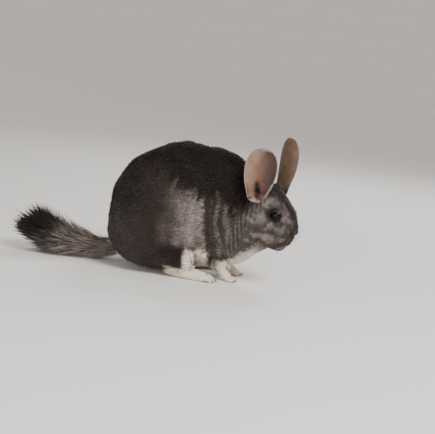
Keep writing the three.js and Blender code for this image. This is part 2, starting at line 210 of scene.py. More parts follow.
# %% Grid helpers
def grid_faces(rows, columns):
    """Quads (row, column), (row, column + 1), ... of a grid whose columns close into a ring."""
    row = np.arange(rows - 1)[:, None] * columns
    column = np.arange(columns)[None, :]
    following = (column + 1) % columns
    quads = np.stack([row + column, row + following, row + columns + following, row + columns + column], -1)
    return quads.reshape(-1, 4)


def closed_tube(points):
    """Vertices, quads and end fans of a ring grid shaped (rows, columns, 3)."""
    rows, columns, _ = points.shape
    vertices = np.concatenate([points.reshape(-1, 3), points[:1].mean(1), points[-1:].mean(1)])
    quads = grid_faces(rows, columns)
    around = np.arange(columns)
    following = (around + 1) % columns
    first = np.stack([following, around, np.full(columns, rows * columns)], -1)
    last_row = (rows - 1) * columns
    last = np.stack([last_row + around, last_row + following, np.full(columns, rows * columns + 1)], -1)
    return vertices, quads.tolist() + first.tolist() + last.tolist()


def heaped(tubes):
    """Several closed tubes as one heap: the faces of each count on from the vertices of those before."""
    vertices, faces, start = [], [], 0
    for tube in tubes:
        own_vertices, own_faces = closed_tube(tube)
        vertices.append(own_vertices)
        faces += [[start + corner for corner in face] for face in own_faces]
        start += len(own_vertices)
    return np.concatenate(vertices), faces


def add_object(name, data):
    """A new object of a mesh, a light or a camera, linked into the scene."""
    thing = bpy.data.objects.new(name, data)
    bpy.context.collection.objects.link(thing)
    return thing


def make_object(name, vertices, faces, material=None):
    """A smooth object from vertices in millimetres, with the faces of each closed part turned outwards."""
    mesh = bpy.data.meshes.new(name)
    mesh.from_pydata(place(vertices).tolist(), [], faces)
    mesh.update()
    work = bmesh.new()
    work.from_mesh(mesh)
    bmesh.ops.recalc_face_normals(work, faces=work.faces)
    work.to_mesh(mesh)
    work.free()
    mesh.polygons.foreach_set("use_smooth", np.full(len(mesh.polygons), True))
    if material:
        mesh.materials.append(material)
    return add_object(name, mesh)


def unit(vectors):
    """Vectors divided by their own lengths."""
    return vectors / np.maximum(np.linalg.norm(vectors, axis=-1, keepdims=True), 1e-9)


def curve_points(stops, count):
    """A smooth curve through the stops: Catmull-Rom cubics between each two of them."""
    stops = np.asarray(stops, float)
    padded = np.concatenate([2 * stops[:1] - stops[1:2], stops, 2 * stops[-1:] - stops[-2:-1]])
    place_on = np.linspace(0, len(stops) - 1 - 1e-9, count)
    i = place_on.astype(int)
    t = (place_on - i)[:, None]
    a, b, c, d = padded[i], padded[i + 1], padded[i + 2], padded[i + 3]
    return 0.5 * (2 * b + (c - a) * t + (2 * a - 5 * b + 4 * c - d) * t**2 + (3 * b - a - 3 * c + d) * t**3)


def tube_rings(stops, radii, rows=24, columns=16, flat=1.0):
    """Circles carried along a curve, their radius read off a row of radii; flat makes them lower than wide."""
    path = curve_points(stops, rows)
    tangent = unit(np.gradient(path, axis=0))
    side = unit(np.cross([0, 0, 1], tangent) + [0, 1e-6, 0])
    rise = np.cross(tangent, side)
    radius = np.interp(np.linspace(0, 1, rows), np.linspace(0, 1, len(radii)), radii)[:, None, None]
    angle = np.linspace(0, 2 * np.pi, columns, endpoint=False)[None, :, None]
    ring = np.cos(angle) * side[:, None] + np.sin(angle) * flat * rise[:, None]
    return path[:, None] + radius * ring


def round_rays(rows, columns):
    """Directions over a whole sphere, row by row from bottom to top."""
    theta = np.linspace(0.02, np.pi - 0.02, rows)[:, None]
    phi = np.linspace(0, 2 * np.pi, columns, endpoint=False)[None, :]
    return np.stack([np.sin(theta) * np.cos(phi), np.sin(theta) * np.sin(phi), -np.cos(theta) + 0 * phi], -1)


print("a tube of 4 rings of 8 points has", len(closed_tube(np.zeros((4, 8, 3)))[1]), "faces")

# %% [markdown]
# ## Legs and tail under the skin
# The feet are tubes along a few stops. A chinchilla walks on long hind soles with three toes that show and on
# small hands with four. Under its brush the tail is thin.

# %% Limbs
def mirrored(stop, hand):
    """The stop itself for the left side, hand 1, and its mirror image for the right side, hand -1."""
    return (stop[0], stop[1] * hand, stop[2])


def toe(root, spread, length, radius, hand):
    """A tube from the root over a raised knuckle to the tip."""
    tip = (root[0] + length, root[1] + spread, radius * 0.75)
    knuckle = (root[0] + length * 0.5, root[1] + spread * 0.55, root[2] + radius * 0.5)
    stops = [mirrored(stop, hand) for stop in (root, knuckle, tip)]
    return tube_rings(stops, [radius * 1.05, radius, radius * 0.95, radius * 0.5], rows=12, columns=12)


HEEL = (-20, 34, 4.5)
TOES = (26, 37, 4)
FOOT_WIDTH = 7.5
HIND_SPREADS = (-4.6, -0.2, 4.4)
HIND_LENGTHS = (12, 14, 11.5)
TOE_RADIUS = 2.6
ELBOW = (30, 20, 42)
BEND = (36, 20, 26)
WRIST = (41, 19, 11)
PALM = (49, 19, 3)
FORE_SPREADS = (-4.2, -1.4, 1.6, 4.4)
FORE_LENGTHS = (6, 8, 8, 6.5)
FINGER_RADIUS = 1.6


def hind_foot(hand):
    """A long sole from the heel over its arch to the front of the foot, and three toes."""
    arch = ((HEEL[0] + TOES[0]) / 2, (HEEL[1] + TOES[1]) / 2, 5.2)
    stops = [mirrored(stop, hand) for stop in (HEEL, arch, TOES)]
    radii = [2.6, 5.2, FOOT_WIDTH * 0.9, FOOT_WIDTH, FOOT_WIDTH, FOOT_WIDTH * 0.8]
    sole = tube_rings(stops, radii, rows=26, columns=20, flat=0.8)
    toes = [toe((TOES[0] - 3, TOES[1] + spread * 0.75, 3), spread * 0.6, length, TOE_RADIUS, hand)
            for spread, length in zip(HIND_SPREADS, HIND_LENGTHS)]
    return [sole, *toes]


def fore_leg(hand):
    """An arm from the elbow to the palm, and four fingers."""
    stops = [mirrored(stop, hand) for stop in (ELBOW, BEND, WRIST, PALM)]
    arm = tube_rings(stops, [8.5, 7, 4.8, 4.3, 4.0], rows=26, columns=18)
    fingers = [toe((PALM[0] - 1, PALM[1] + spread * 0.7, 1.6), spread * 0.5, length, FINGER_RADIUS, hand)
               for spread, length in zip(FORE_SPREADS, FORE_LENGTHS)]
    return [arm, *fingers]


TAIL_STOPS = [(-78, 0, 16.5), (-97, -2, 10.8), (-116, -5, 9.2),
              (-136, -9, 11), (-154, -12, 16), (-169, -14, 23)]
TAIL_RADII = [7, 6, 5, 4.4, 3.4, 2]
tail_core = tube_rings(TAIL_STOPS, TAIL_RADII, rows=50, columns=16)
limb_tubes = [tube for hand in SIDES.values() for tube in hind_foot(hand) + fore_leg(hand)]
print(len(limb_tubes), "tubes for the feet and legs")

# %% [markdown]
# ## One seamless skin
# The trunk's and the head's shells are read off the same field, so they agree where they overlap. They are
# put into one mesh with the limbs and the tail, and a voxel remesh turns the heap into one closed skin with
# no seam.

# %% Skin
VOXEL = 1.05
SHELL_RAYS = round_rays(120, 240)
NECK_WAY = np.array([0.92, -0.39, 0.0])
TRUNK_END = 72
HEAD_START = 52
TRUNK_CENTRE = (-20, 0, 74)
HEAD_CENTRE = (-8, 0, -8)


def clipped(field, normal, offset):
    """The field cut off where the point goes further along the normal than the offset."""
    return lambda points: np.maximum(field(points), points @ normal - offset)


trunk_shell = ray_surface(clipped(skin_field, NECK_WAY, TRUNK_END), TRUNK_CENTRE, SHELL_RAYS)
head_shell = ray_surface(clipped(skin_field, -NECK_WAY, -HEAD_START), from_head(HEAD_CENTRE), SHELL_RAYS)
heap = make_object("skin_heap", *heaped([trunk_shell, head_shell, tail_core, *limb_tubes]))
remesh = heap.modifiers.new("one skin", "REMESH")
remesh.mode = "VOXEL"
remesh.voxel_size = VOXEL * MM
relax = heap.modifiers.new("soft", "SMOOTH")
relax.factor = 0.5
relax.iterations = 2
bpy.context.view_layer.update()
skin_mesh = bpy.data.meshes.new_from_object(heap.evaluated_get(bpy.context.evaluated_depsgraph_get()))
skin_mesh.name = "skin"
skin = add_object("skin", skin_mesh)
bpy.data.objects.remove(heap)
skin_mesh.polygons.foreach_set("use_smooth", np.full(len(skin_mesh.polygons), True))
print("skin:", len(skin_mesh.vertices), "vertices")

# %% Read the skin back as arrays
def mesh_arrays(mesh):
    """Vertices in the animal's millimetres, vertex normals and triangles of a mesh."""
    mesh.calc_loop_triangles()
    where = np.empty(len(mesh.vertices) * 3)
    mesh.vertices.foreach_get("co", where)
    normal = np.empty(len(mesh.vertices) * 3)
    mesh.vertex_normals.foreach_get("vector", normal)
    corner = np.empty(len(mesh.loop_triangles) * 3, np.int32)
    mesh.loop_triangles.foreach_get("vertices", corner)
    return where.reshape(-1, 3) / MM - ORIGIN, normal.reshape(-1, 3), corner.reshape(-1, 3)


def waves(points, length, seed, count=9):
    """Soft noise between about -1 and 1: a mean of sine waves in random directions."""
    draw = np.random.default_rng(seed)
    ways = unit(draw.normal(size=(count, 3))) * (2 * np.pi / length) * draw.uniform(0.6, 1.5, (count, 1))
    return np.sin(points @ ways.T + draw.uniform(0, 6.28, count)).sum(-1) / math.sqrt(count)


SKIN_FLOOR = 0.1
skin_where, skin_normal, skin_triangles = mesh_arrays(skin_mesh)
skin_where[:, 2] = np.maximum(skin_where[:, 2], SKIN_FLOOR)
skin_mesh.vertices.foreach_set("co", place(skin_where).ravel())
skin_mesh.update()
print("skin box", skin_where.min(0).round(0), skin_where.max(0).round(0), "mm")

# %% [markdown]
# ## Markings
# The coat is charcoal along the back, grey on the flanks with a silver patch, and cream white on the belly,
# the throat and the feet. Each marking is a soft mask in the animal's own millimetres, the same on both sides
# but for its ragged edge, so the skin and the tufts that grow from it can read one formula. Some masks are
# painted shade and light instead: a dark line in the fold before the haunch, shade on the hock, and dark and
# pale stripes for the folds of the coat at the neck.

# %% Colours
def paint(red, green, blue):
    """A screen colour of 0 to 255 a channel as linear light."""
    value = np.array([red, green, blue]) / 255
    return np.where(value <= 0.04045, value / 12.92, ((value + 0.055) / 1.055) ** 2.4)


CHARCOAL = paint(34, 25, 23)
SLATE = paint(64, 54, 49)
FLANK = paint(54, 44, 40)
GREY = paint(100, 90, 84)
SILVER = paint(155, 143, 138)
CREAM = paint(250, 236, 222)
FACE_GREY = paint(92, 84, 82)
FACE_PALE = paint(172, 159, 153)
TAIL_GREY = paint(132, 120, 114)
TAIL_PALE = paint(186, 174, 167)
TAIL_BLACK = paint(24, 20, 20)


def mixed(base, colour, mask):
    """Base towards colour by the mask."""
    return base + (colour - base) * mask[..., None]


def oval(points, centre, size):
    """1 in the middle of an ellipsoid, fading to 0 at about its surface."""
    share = np.linalg.norm((points - np.array(centre, float)) / np.array(size, float), axis=-1)
    return 1 - smooth(share, 0.55, 1.15)


def ripples(points, period, seed):
    """0 to 1 in upright folds across x, each bent a little by soft waves, for painted light on the crests and
    painted shade in the troughs.
    """
    bent = points[..., 0] + 0.10 * points[..., 2] + 0.20 * period * waves(points, 34, seed)
    return smooth(np.sin(2 * np.pi * bent / period), -0.5, 0.9)


def over_chest_line(x, height):
    """How far a height lies over the slanting line 2.9 + 0.716 (x - 39.8), the border of chest and throat."""
    return height - 0.716 * (x - 39.8) - 2.9


print("the coat's darkest and palest paint:", CHARCOAL.round(3), CREAM.round(3))

# %% Markings of the trunk
WIDE_RIPPLES = (9.5, 6)
NARROW_RIPPLES = (4.8, 7)


def trunk_colour(points):
    """The flank's brown grey, with what each line below is named after mixed in by its own mask: the
    markings, painted shade in the fold and on the hock, and painted shade and light on the neck's folds.
    """
    x, y, z = points[..., 0], np.abs(points[..., 1]), points[..., 2]
    folded = np.stack([x, y, z], -1)
    ragged = 5 * waves(points, 16, 3) + 2.5 * waves(points, 6, 4)
    streaky = 4.5 * waves(np.stack([x * 2.2, y, z * 0.7], -1), 11, 5)
    rear = smooth(-x + 0.7 * ragged, 34, 62)
    colour = mixed(np.broadcast_to(FLANK, points.shape), CHARCOAL, rear * smooth(z + 0.8 * ragged, 46, 78))
    edge = x - 17.5 - 0.12 * (83 - z)
    patch = smooth(x + 0.8 * ragged, -42, 13) ** 2 * (1 - smooth(edge + 0.25 * ragged, -2, 1.5))
    patch = patch * smooth(z + 0.5 * ragged, 28, 46) * (1 - smooth(z + 0.39 * x + streaky, 84, 101))
    colour = mixed(colour, SILVER, patch)
    shoulder = smooth(edge, -1, 3) * smooth(z, 20, 34)
    colour = mixed(colour, GREY, 0.85 * shoulder)
    # a dark line along the fold before the haunch: painted shade in the crease
    crease_shade = np.exp(-((edge - 4.5) / 3.0) ** 2) * smooth(z, 20, 40) * (1 - smooth(z, 96, 118))
    colour = mixed(colour, CHARCOAL, 0.8 * crease_shade)
    # the folds of the coat at the shoulder and neck are painted: painted shade in their troughs and painted
    # light on their crests
    ruff = smooth(edge, 4, 12) * smooth(z, 20, 34)
    wide = ripples(points, *WIDE_RIPPLES)
    narrow = ripples(points, *NARROW_RIPPLES)
    near_neck = smooth(x, 42, 54)
    fold_shade_share = 0.60 * (1 - wide) * (1 - 0.7 * near_neck) + 0.65 * (1 - narrow) * near_neck
    fold_light_share = 0.28 * wide * (1 - near_neck) + 0.42 * narrow * near_neck
    colour = mixed(colour, CHARCOAL, ruff * fold_shade_share)
    colour = mixed(colour, SILVER, ruff * fold_light_share)
    high = smooth(z + 0.39 * np.minimum(x, 16) + 0.6 * np.maximum(x - 34, 0) + streaky, 86, 104)
    colour = mixed(colour, CHARCOAL, high)
    # painted shade on the hock, low on the haunch
    hock_shade = oval(folded, (-10, 50, 24), (14, 34, 13))
    colour = mixed(colour, CHARCOAL, 0.75 * hock_shade)
    under = (1 - smooth(z + 0.6 * ragged, 8, 18)) * (1 - smooth(y, 20, 30))
    thigh = smooth(x + 0.3 * ragged, 0, 6) * (1 - smooth(x + 0.2 * ragged, 23, 28))
    thigh = thigh * (1 - smooth(z + 0.6 * ragged, 28, 36))
    chest = smooth(x, 34, 44) * (1 - smooth(over_chest_line(x, z + 0.5 * ragged), 13, 21))
    return mixed(colour, CREAM, np.maximum(np.maximum(thigh, chest), under))


print("middle of the flank:", trunk_colour(np.array([[-20.0, -50, 60]])).round(3))

# %% Markings of the head
PALE_PATCHES = {
    "under the eye": (0.4, (-6, 22, -8), (6, 14, 7)),
    "behind the eye": (0.6, (-11, 20, 12), (4.5, 10, 6)),
    "side of the lip": (0.85, (8, 18, -25), (7, 14, 7)),
    "over the eye": (0.25, (9, 12, 8), (6, 9, 5)),
    "before the eye": (0.4, (14, 12, -10), (6, 9, 7)),
}
DARK_PATCHES = {
    "ring of the eye": (0.95, (0, 16, 0), (11, 10, 8.5)),
    "streak from the eye to the nose": (0.6, (9, 13, -5), (6, 9, 6)),
}


def patched(colour, points, tone, patches):
    """The colour with the tone mixed in by the oval of each patch times its strength."""
    for strength, centre, size in patches.values():
        colour = mixed(colour, tone, strength * oval(points, centre, size))
    return colour


def head_colour(points):
    """Clouded grey with pale patches, a dark ring and streak at the eye, a dark bridge and a pale throat."""
    local = to_head(points)
    f, s, u = local[..., 0], np.abs(local[..., 1]), local[..., 2]
    folded = np.stack([f, s, u], -1)
    speckle = waves(points, 5, 8)
    cloud = waves(points, 11, 9)
    colour = np.broadcast_to(FACE_GREY, points.shape)
    colour = mixed(colour, FACE_PALE, 0.45 * smooth(cloud + 0.5 * speckle, 0.2, 1.4))
    colour = mixed(colour, SLATE, 0.6 * smooth(-cloud + 0.5 * speckle, 0.2, 1.4))
    colour = patched(colour, folded, FACE_PALE, PALE_PATCHES)
    bridge = 0.7 * (1 - smooth(s, 3, 9)) * smooth(u + 0.3 * f, -6, 4)
    colour = mixed(colour, CHARCOAL, bridge)
    crown = smooth(u + 2 * speckle, 5, 16)
    colour = mixed(colour, CHARCOAL, 0.6 * crown)
    colour = patched(colour, folded, CHARCOAL, DARK_PATCHES)
    muzzle = oval(folded, (22, 4, -10), (8, 10, 12))
    colour = mixed(colour, SLATE, 0.55 * muzzle)
    # the neck's folds go on at the back of the head, as painted shade in their troughs and painted light on
    # their crests
    ruff = 1 - smooth(f, -22, -11)
    narrow = ripples(points, *NARROW_RIPPLES)
    colour = mixed(colour, CHARCOAL, ruff * 0.6 * (1 - narrow))
    colour = mixed(colour, SILVER, ruff * 0.3 * narrow * (1 - smooth(u, 4, 16)))
    behind_jaw = oval(folded, (-17, 20, -24), (5, 12, 7))
    colour = mixed(colour, CHARCOAL, 0.7 * behind_jaw)
    rise = over_chest_line(points[..., 0], points[..., 2] + 2 * speckle)
    throat = (1 - smooth(rise, 10, 20)) * (1 - smooth(f, -4, 6))
    colour = mixed(colour, CREAM, 0.9 * throat)
    return colour * (1 + 0.10 * speckle[..., None])


print(len(PALE_PATCHES), "pale and", len(DARK_PATCHES), "dark patches on each side of the face")

# %% Tail, feet and the whole coat
tail_path = curve_points(TAIL_STOPS, 200)


def along_tail(points):
    """0 at the root of the tail and 1 at its end: the place of the nearest point on its path."""
    place_on = np.empty(len(points))
    for part in np.array_split(np.arange(len(points)), max(1, len(points) // 20000)):
        apart = np.linalg.norm(points[part, None] - tail_path[None], axis=-1)
        place_on[part] = apart.argmin(1) / (len(tail_path) - 1)
    return place_on


def tailness(points):
    """1 on the tail, 0 elsewhere."""
    beyond = np.maximum(-points[..., 0] - 88, 0)
    low = 1 - smooth(points[..., 2] - 0.8 * beyond, 22, 32)
    aside = np.abs(points[..., 1] + 0.15 * beyond)
    return smooth(-points[..., 0], 80, 90) * low * (1 - smooth(aside, 14, 22))


def footness(points):
    """1 on the feet and the lower forelegs, 0 elsewhere."""
    x, y, z = points[..., 0], np.abs(points[..., 1]), points[..., 2]
    hind = (1 - smooth(z - 0.05 * np.abs(x - 20), 8.5, 12)) * smooth(x, -22, -14) * smooth(y, 22, 27)
    fore = smooth(x, 27, 33) * (1 - smooth(z, 15, 25)) * (1 - smooth(np.abs(y - 19.5), 9, 12))
    return np.clip(hind + fore, 0, 1)


def coat_colour(points):
    """Trunk, head, feet and tail colours, each mixed in where its part is."""
    colour = mixed(trunk_colour(points), head_colour(points), headness(points))
    colour = mixed(colour, CREAM * 0.97, footness(points))
    dark_end = smooth(along_tail(points) + 0.05 * waves(points, 9, 12), 0.55, 0.8)
    tail = mixed(np.broadcast_to(TAIL_GREY, points.shape), TAIL_BLACK, dark_end)
    return np.clip(mixed(colour, tail, tailness(points)), 0, 1)


def colour_attribute(mesh, colours):
    """The colours as a point attribute that a material can read."""
    layer = mesh.color_attributes.new("coat_colour", "FLOAT_COLOR", "POINT")
    values = np.concatenate([colours, np.ones((len(colours), 1))], 1)
    layer.data.foreach_set("color", values.astype(np.float32).ravel())


skin_colour = coat_colour(skin_where)
# the skin carries the coat's colours darkened as painted shade at the bottom of the coat, less so under pale
# fur
colour_attribute(skin_mesh, skin_colour * (0.55 + 0.3 * skin_colour.mean(-1, keepdims=True)))
print("mean skin colour", skin_colour.mean(0).round(3))

# %% [markdown]
# ## Materials
# Fur scatters light and has next to no gloss, bare skin has a little, and the wet eye has the most. A small
# class lets a shader's sums be written as ordinary Python expressions.

# %% Shader helpers
class Value:
    """A shader socket with the signs of arithmetic: each sign adds one Math node."""

    def __init__(self, tree, socket):
        self.tree = tree
        self.socket = socket

    def maths(self, operation, first, second):
        """One Math node, fed with two numbers or sockets."""
        node = self.tree.nodes.new("ShaderNodeMath")
        node.operation = operation
        for entry, value in zip(node.inputs, (first, second)):
            if isinstance(value, Value):
                self.tree.links.new(value.socket, entry)
            else:
                entry.default_value = value
        return Value(self.tree, node.outputs[0])

    def __add__(self, other):
        return self.maths("ADD", self, other)

    def __mul__(self, other):
        return self.maths("MULTIPLY", self, other)

    __radd__ = __add__
    __rmul__ = __mul__


class Finish:
    """A material with its Principled shader, and methods that add other nodes to it."""

    def __init__(self, name, **constants):
        self.material = bpy.data.materials.new(name)
        self.material.use_nodes = True
        self.tree = self.material.node_tree
        self.shader = self.tree.nodes["Principled BSDF"]
        for socket, value in constants.items():
            self.shader.inputs[socket.replace("_", " ")].default_value = value

    def node(self, kind, settings=None, output=0, **inputs):
        """A node of a kind, its settings set first, then the values or links of its sockets."""
        node = self.tree.nodes.new(kind)
        for name, value in (settings or {}).items():
            setattr(node, name, value)
        for name, value in inputs.items():
            socket = node.inputs[name.replace("_", " ")]
            if isinstance(value, Value):
                self.tree.links.new(value.socket, socket)
            else:
                socket.default_value = value
        return Value(self.tree, node.outputs[output])

    def tint(self, factor, colour):
        """A colour times a grey factor, by a Vector Math node."""
        node = self.tree.nodes.new("ShaderNodeVectorMath")
        node.operation = "SCALE"
        self.tree.links.new(colour.socket, node.inputs[0])
        self.tree.links.new(factor.socket, node.inputs["Scale"])
        return Value(self.tree, node.outputs[0])

    def blend(self, factor, first, second):
        """Two plain colours mixed by a factor, by a Mix node."""
        node = self.tree.nodes.new("ShaderNodeMix")
        node.data_type = "RGBA"
        self.tree.links.new(factor.socket, node.inputs[0])
        node.inputs[6].default_value = (*first, 1)
        node.inputs[7].default_value = (*second, 1)
        return Value(self.tree, node.outputs[2])

    def noise(self, scale, detail):
        """Noise in the object's own metres."""
        own_place = self.node("ShaderNodeTexCoord", output=3)
        return self.node("ShaderNodeTexNoise", Vector=own_place, Scale=scale, Detail=detail)

    def feed(self, socket, value):
        """A value linked to a socket of the Principled shader."""
        self.tree.links.new(value.socket, self.shader.inputs[socket])

    def plain(self, colour):
        """One colour all over."""
        self.shader.inputs["Base Color"].default_value = (*colour, 1)

    def own_colours(self, factor):
        """The colours that the mesh carries, times a grey factor."""
        carried = self.node("ShaderNodeAttribute", {"attribute_name": "coat_colour"})
        self.feed("Base Color", self.tint(factor, carried))

    def relief(self, height, strength, distance):
        """Bumps read off a height."""
        bump = self.node("ShaderNodeBump", Height=height, Strength=strength, Distance=distance)
        self.feed("Normal", bump)


print("helpers ready")

# %% Fur, skin, eye and horn
fur = Finish("plush fur", Roughness=0.9, Specular_IOR_Level=0.12, Sheen_Weight=0.10, Sheen_Roughness=0.5)
fur.own_colours(0.8 + 0.4 * fur.noise(420.0, 2.0))

under_fur = Finish("skin under the fur", Roughness=0.9, Specular_IOR_Level=0.1)
hairs = under_fur.noise(900.0, 3.0)
under_fur.own_colours(0.7 + 0.6 * hairs)
under_fur.relief(hairs, 0.5, 0.0006)
skin_mesh.materials.append(under_fur.material)

eye_gloss = Finish("wet eye", Roughness=0.08, Specular_IOR_Level=0.22)
eye_gloss.plain((0.002, 0.0012, 0.001))

bare = Finish("dark bare skin", Roughness=0.5, Specular_IOR_Level=0.4)
pores = bare.noise(1400.0, 3.0)
bare.feed("Base Color", bare.blend(pores, paint(22, 17, 17), paint(48, 38, 37)))
bare.relief(pores, 0.5, 0.0003)

horn = Finish("claw horn", Roughness=0.35, Specular_IOR_Level=0.5)
horn.plain(paint(70, 58, 52))

whisker_hair = Finish("whisker", Roughness=0.5, Specular_IOR_Level=0.3)
whisker_hair.plain(paint(60, 54, 52))
print(len(bpy.data.materials), "materials")

# %% [markdown]
# ## Tufts
# Single hairs are far too many for a mesh, so the coat is made of tufts: slim closed spikes with three sides,
# one bend and a fine tip. All tufts of one piece are computed at once. Each starts a little under the skin,
# rises from it and then leans over along the lie of the coat.

# %% Many strands in one mesh
PATCH = 0.003


def laid_flat(ways, normals):
    """What is left of each way without its part along the normal, as a unit vector."""
    return unit(ways - normals * (ways * normals).sum(-1, keepdims=True))


def strands(name, vertices, pattern, flower, base_faces, colours, bake_at):
    """Equal strands as one object: vertices are (count, points, 3), and the pattern is one strand's triangles.

    On the bake map each strand is seen from its tip, as a flower at its root's place on the unwrapped skin. The
    faces that close its base lie there as a small patch beside the middle."""
    count, points_each, _ = vertices.shape
    triangles = (np.arange(count)[:, None, None] * points_each + pattern[None]).reshape(-1, 3)
    mesh = bpy.data.meshes.new(name)
    mesh.vertices.add(count * points_each)
    mesh.vertices.foreach_set("co", place(vertices.reshape(-1, 3)).ravel())
    mesh.loops.add(len(triangles) * 3)
    mesh.loops.foreach_set("vertex_index", triangles.ravel())
    mesh.polygons.add(len(triangles))
    mesh.polygons.foreach_set("loop_start", np.arange(len(triangles)) * 3)
    mesh.update(calc_edges=True)
    mesh.polygons.foreach_set("use_smooth", np.full(len(triangles), True))
    colour_attribute(mesh, np.clip(colours, 0, 1).reshape(-1, 3))
    corner_uv = flower[pattern]
    corner_uv[:base_faces] = corner_uv[:base_faces] * 0.3 + PATCH * 0.4
    layer = mesh.uv_layers.new(name="OFBake")
    layer.data.foreach_set("uv", (bake_at[:, None, None] + corner_uv[None]).astype(np.float32).ravel())
    mesh.materials.append(fur.material)
    return add_object(name, mesh)


print("a strand is", PATCH, "wide on the bake map")

# %% Tuft maker
TUFT_STEPS = np.array([0.0, 0.52, 1.0])
TUFT_RINGS = np.array([0.85, 1.0])
TUFT_CORNERS = [(-1.0, -0.3), (1.0, -0.3), (0.0, 1.0)]
TUFT_THICKNESS = 0.55
# painted shade at a tuft's base and painted light at its tip, one factor for each of its seven points
TUFT_PAINTED_SHADE_AND_LIGHT = np.array([0.62, 0.62, 0.62, 0.95, 0.95, 0.95, 1.15])
TUFT_FLOOR = 0.05
ROOT_DEPTH = 0.5
TUFT_FACES = np.array([[0, 2, 1], [0, 1, 4], [0, 4, 3], [1, 2, 5], [1, 5, 4], [2, 0, 3], [2, 3, 5],
                       [3, 4, 6], [4, 5, 6], [5, 3, 6]])
spin = np.radians([210, 330, 90])
petals = np.stack([np.cos(spin), np.sin(spin)], -1) * PATCH / 2
TUFT_FLOWER = np.concatenate([petals, petals * 0.5, np.zeros((1, 2))])


def tuft_mesh(name, roots, normals, lies, length, width, lift, colours, bake_at):
    """Centre line: root + length * (sin(lift) * (2t - t^2) * normal + cos(lift) * t^1.25 * lie), t from 0 to 1.

    Two rings of three corners and a tip stand on it. The base is darkened as painted shade deep in the coat and
    the tip brightened as painted light, less so on a pale tuft."""
    lies = laid_flat(lies, normals)
    side = np.cross(normals, lies)
    height = 2 * TUFT_STEPS - TUFT_STEPS**2
    reach = TUFT_STEPS**1.25
    rise = (length * np.sin(lift))[:, None, None] * height[None, :, None]
    run = (length * np.cos(lift))[:, None, None] * reach[None, :, None]
    line = (roots - normals * ROOT_DEPTH)[:, None] + rise * normals[:, None] + run * lies[:, None]
    half = width[:, None] * TUFT_RINGS[None]
    vertices = np.empty((len(roots), 7, 3))
    for ring in range(2):
        for corner, (across, over) in enumerate(TUFT_CORNERS):
            sideways = side * (half[:, ring] * across)[:, None]
            outwards = normals * (half[:, ring] * over * TUFT_THICKNESS)[:, None]
            vertices[:, ring * 3 + corner] = line[:, ring] + (sideways + outwards)
    vertices[:, 6] = line[:, 2]
    vertices[..., 2] = np.maximum(vertices[..., 2], TUFT_FLOOR)
    # painted shade and light along the tuft, eased towards 1 on pale fur
    shade = TUFT_PAINTED_SHADE_AND_LIGHT[None, :, None]
    shade = shade + (1 - shade) * 0.8 * colours.mean(-1)[:, None, None]
    return strands(name, vertices, TUFT_FACES, TUFT_FLOWER, 1, colours[:, None] * shade, bake_at)


print("one tuft has", len(TUFT_FACES), "triangles")


# %% Place, length and colour of a tuft
def scattered(triangles, density, count, seed):
    """Points spread over the triangles by area times density, with the triangle's smooth normal."""
    draw = np.random.default_rng(seed)
    a, b, c = (skin_where[triangles[:, i]] for i in range(3))
    area = np.linalg.norm(np.cross(b - a, c - a), axis=-1) * density
    chosen = draw.choice(len(triangles), count, p=area / area.sum())
    r, s = np.sqrt(draw.uniform(size=count)), draw.uniform(size=count)
    share = np.stack([1 - r, r * (1 - s), r * s], -1)
    corners = triangles[chosen]
    where = (skin_where[corners] * share[..., None]).sum(1)
    normal = unit((skin_normal[corners] * share[..., None]).sum(1))
    return where, normal


def seen_at(points, normals, lies, length, lift):
    """The place that the outer half of a tuft covers, whose marking it carries."""
    lies = laid_flat(lies, normals)
    run = length * np.cos(lift)
    rise = length * np.sin(lift)
    return points + 0.62 * lies * run[:, None] + 0.8 * normals * rise[:, None]


def tuft_colour(points, normals, lies, length, lift, shade):
    """The marking at the place that each tuft covers, times its own shade."""
    return np.clip(coat_colour(seen_at(points, normals, lies, length, lift)) * shade[:, None], 0, 1)


def way_out(points, normals, least, most):
    """How far the coat's outer surface lies from the skin along the normal, found by walking with the field."""
    far = np.zeros(len(points))
    for _ in range(14):
        far -= 0.9 * coat_field(points + normals * far[:, None])
    return np.clip(far, least, most)


print("coat over three points of the skin:", way_out(skin_where[:3], skin_normal[:3], 0.5, 9).round(1), "mm")

# %% [markdown]
# ## Ears
# The ears are thin, nearly bare cups. The shape is a bent egg-shaped paddle: its width follows the height, it
# curls less towards the tip, and its lower end turns out into a lobe. Two ribs and a pocket where the ear
# canal begins give the inside its relief. The front and the back share their rim, so each ear is one closed
# shell.

# %% Ear shape
EAR_HALF_WIDTH = 18.5
EAR_THICKNESS = 1.6
EAR_WIDEST = 0.6
EAR_BASE = 0.48
EAR_ROUND = 2.2
EAR_LOBE = 0.1
EAR_LOBE_OUT = 5.5
EAR_CURL_LOW = 1.25
EAR_CURL_TIP = 0.4
EARS = {
    "left": dict(root=(-25, 17, 7), tip=(0.12, 0.3, 0.93), opens=(0.74, 0.67, 0), length=64),
    "right": dict(root=(-24, -20.5, 3), tip=(0.09, -0.24, 0.96), opens=(0.08, -1, 0.1), length=57),
}


def ear_frame(root, tip, opens, length):
    """Across, cup and along axes of one ear, and its foot on the head."""
    along = unit(np.array(tip, float))
    cup = np.array(opens, float)
    cup = unit(cup - along * (cup @ along))
    return np.cross(cup, along), cup, along, from_head(root)


def ear_half_width(share):
    """A sine from the base to the widest place, rounded off at the lobe, and a round end above."""
    rounded = np.sqrt(1 - np.maximum(1 - share / EAR_LOBE, 0) ** 2)
    low = (EAR_BASE + (1 - EAR_BASE) * np.sin(np.minimum(share / EAR_WIDEST, 1) * np.pi / 2)) * rounded
    rest = np.clip((share - EAR_WIDEST) / (1 - EAR_WIDEST), 0, 1)
    high = np.maximum(1 - rest**EAR_ROUND, 0) ** (1 / EAR_ROUND)
    return np.maximum(EAR_HALF_WIDTH * np.where(share < EAR_WIDEST, low, high), 1.2)


def bell(value, middle, half):
    """exp(-((value - middle) / half)^2)."""
    return np.exp(-(((value - middle) / half) ** 2))


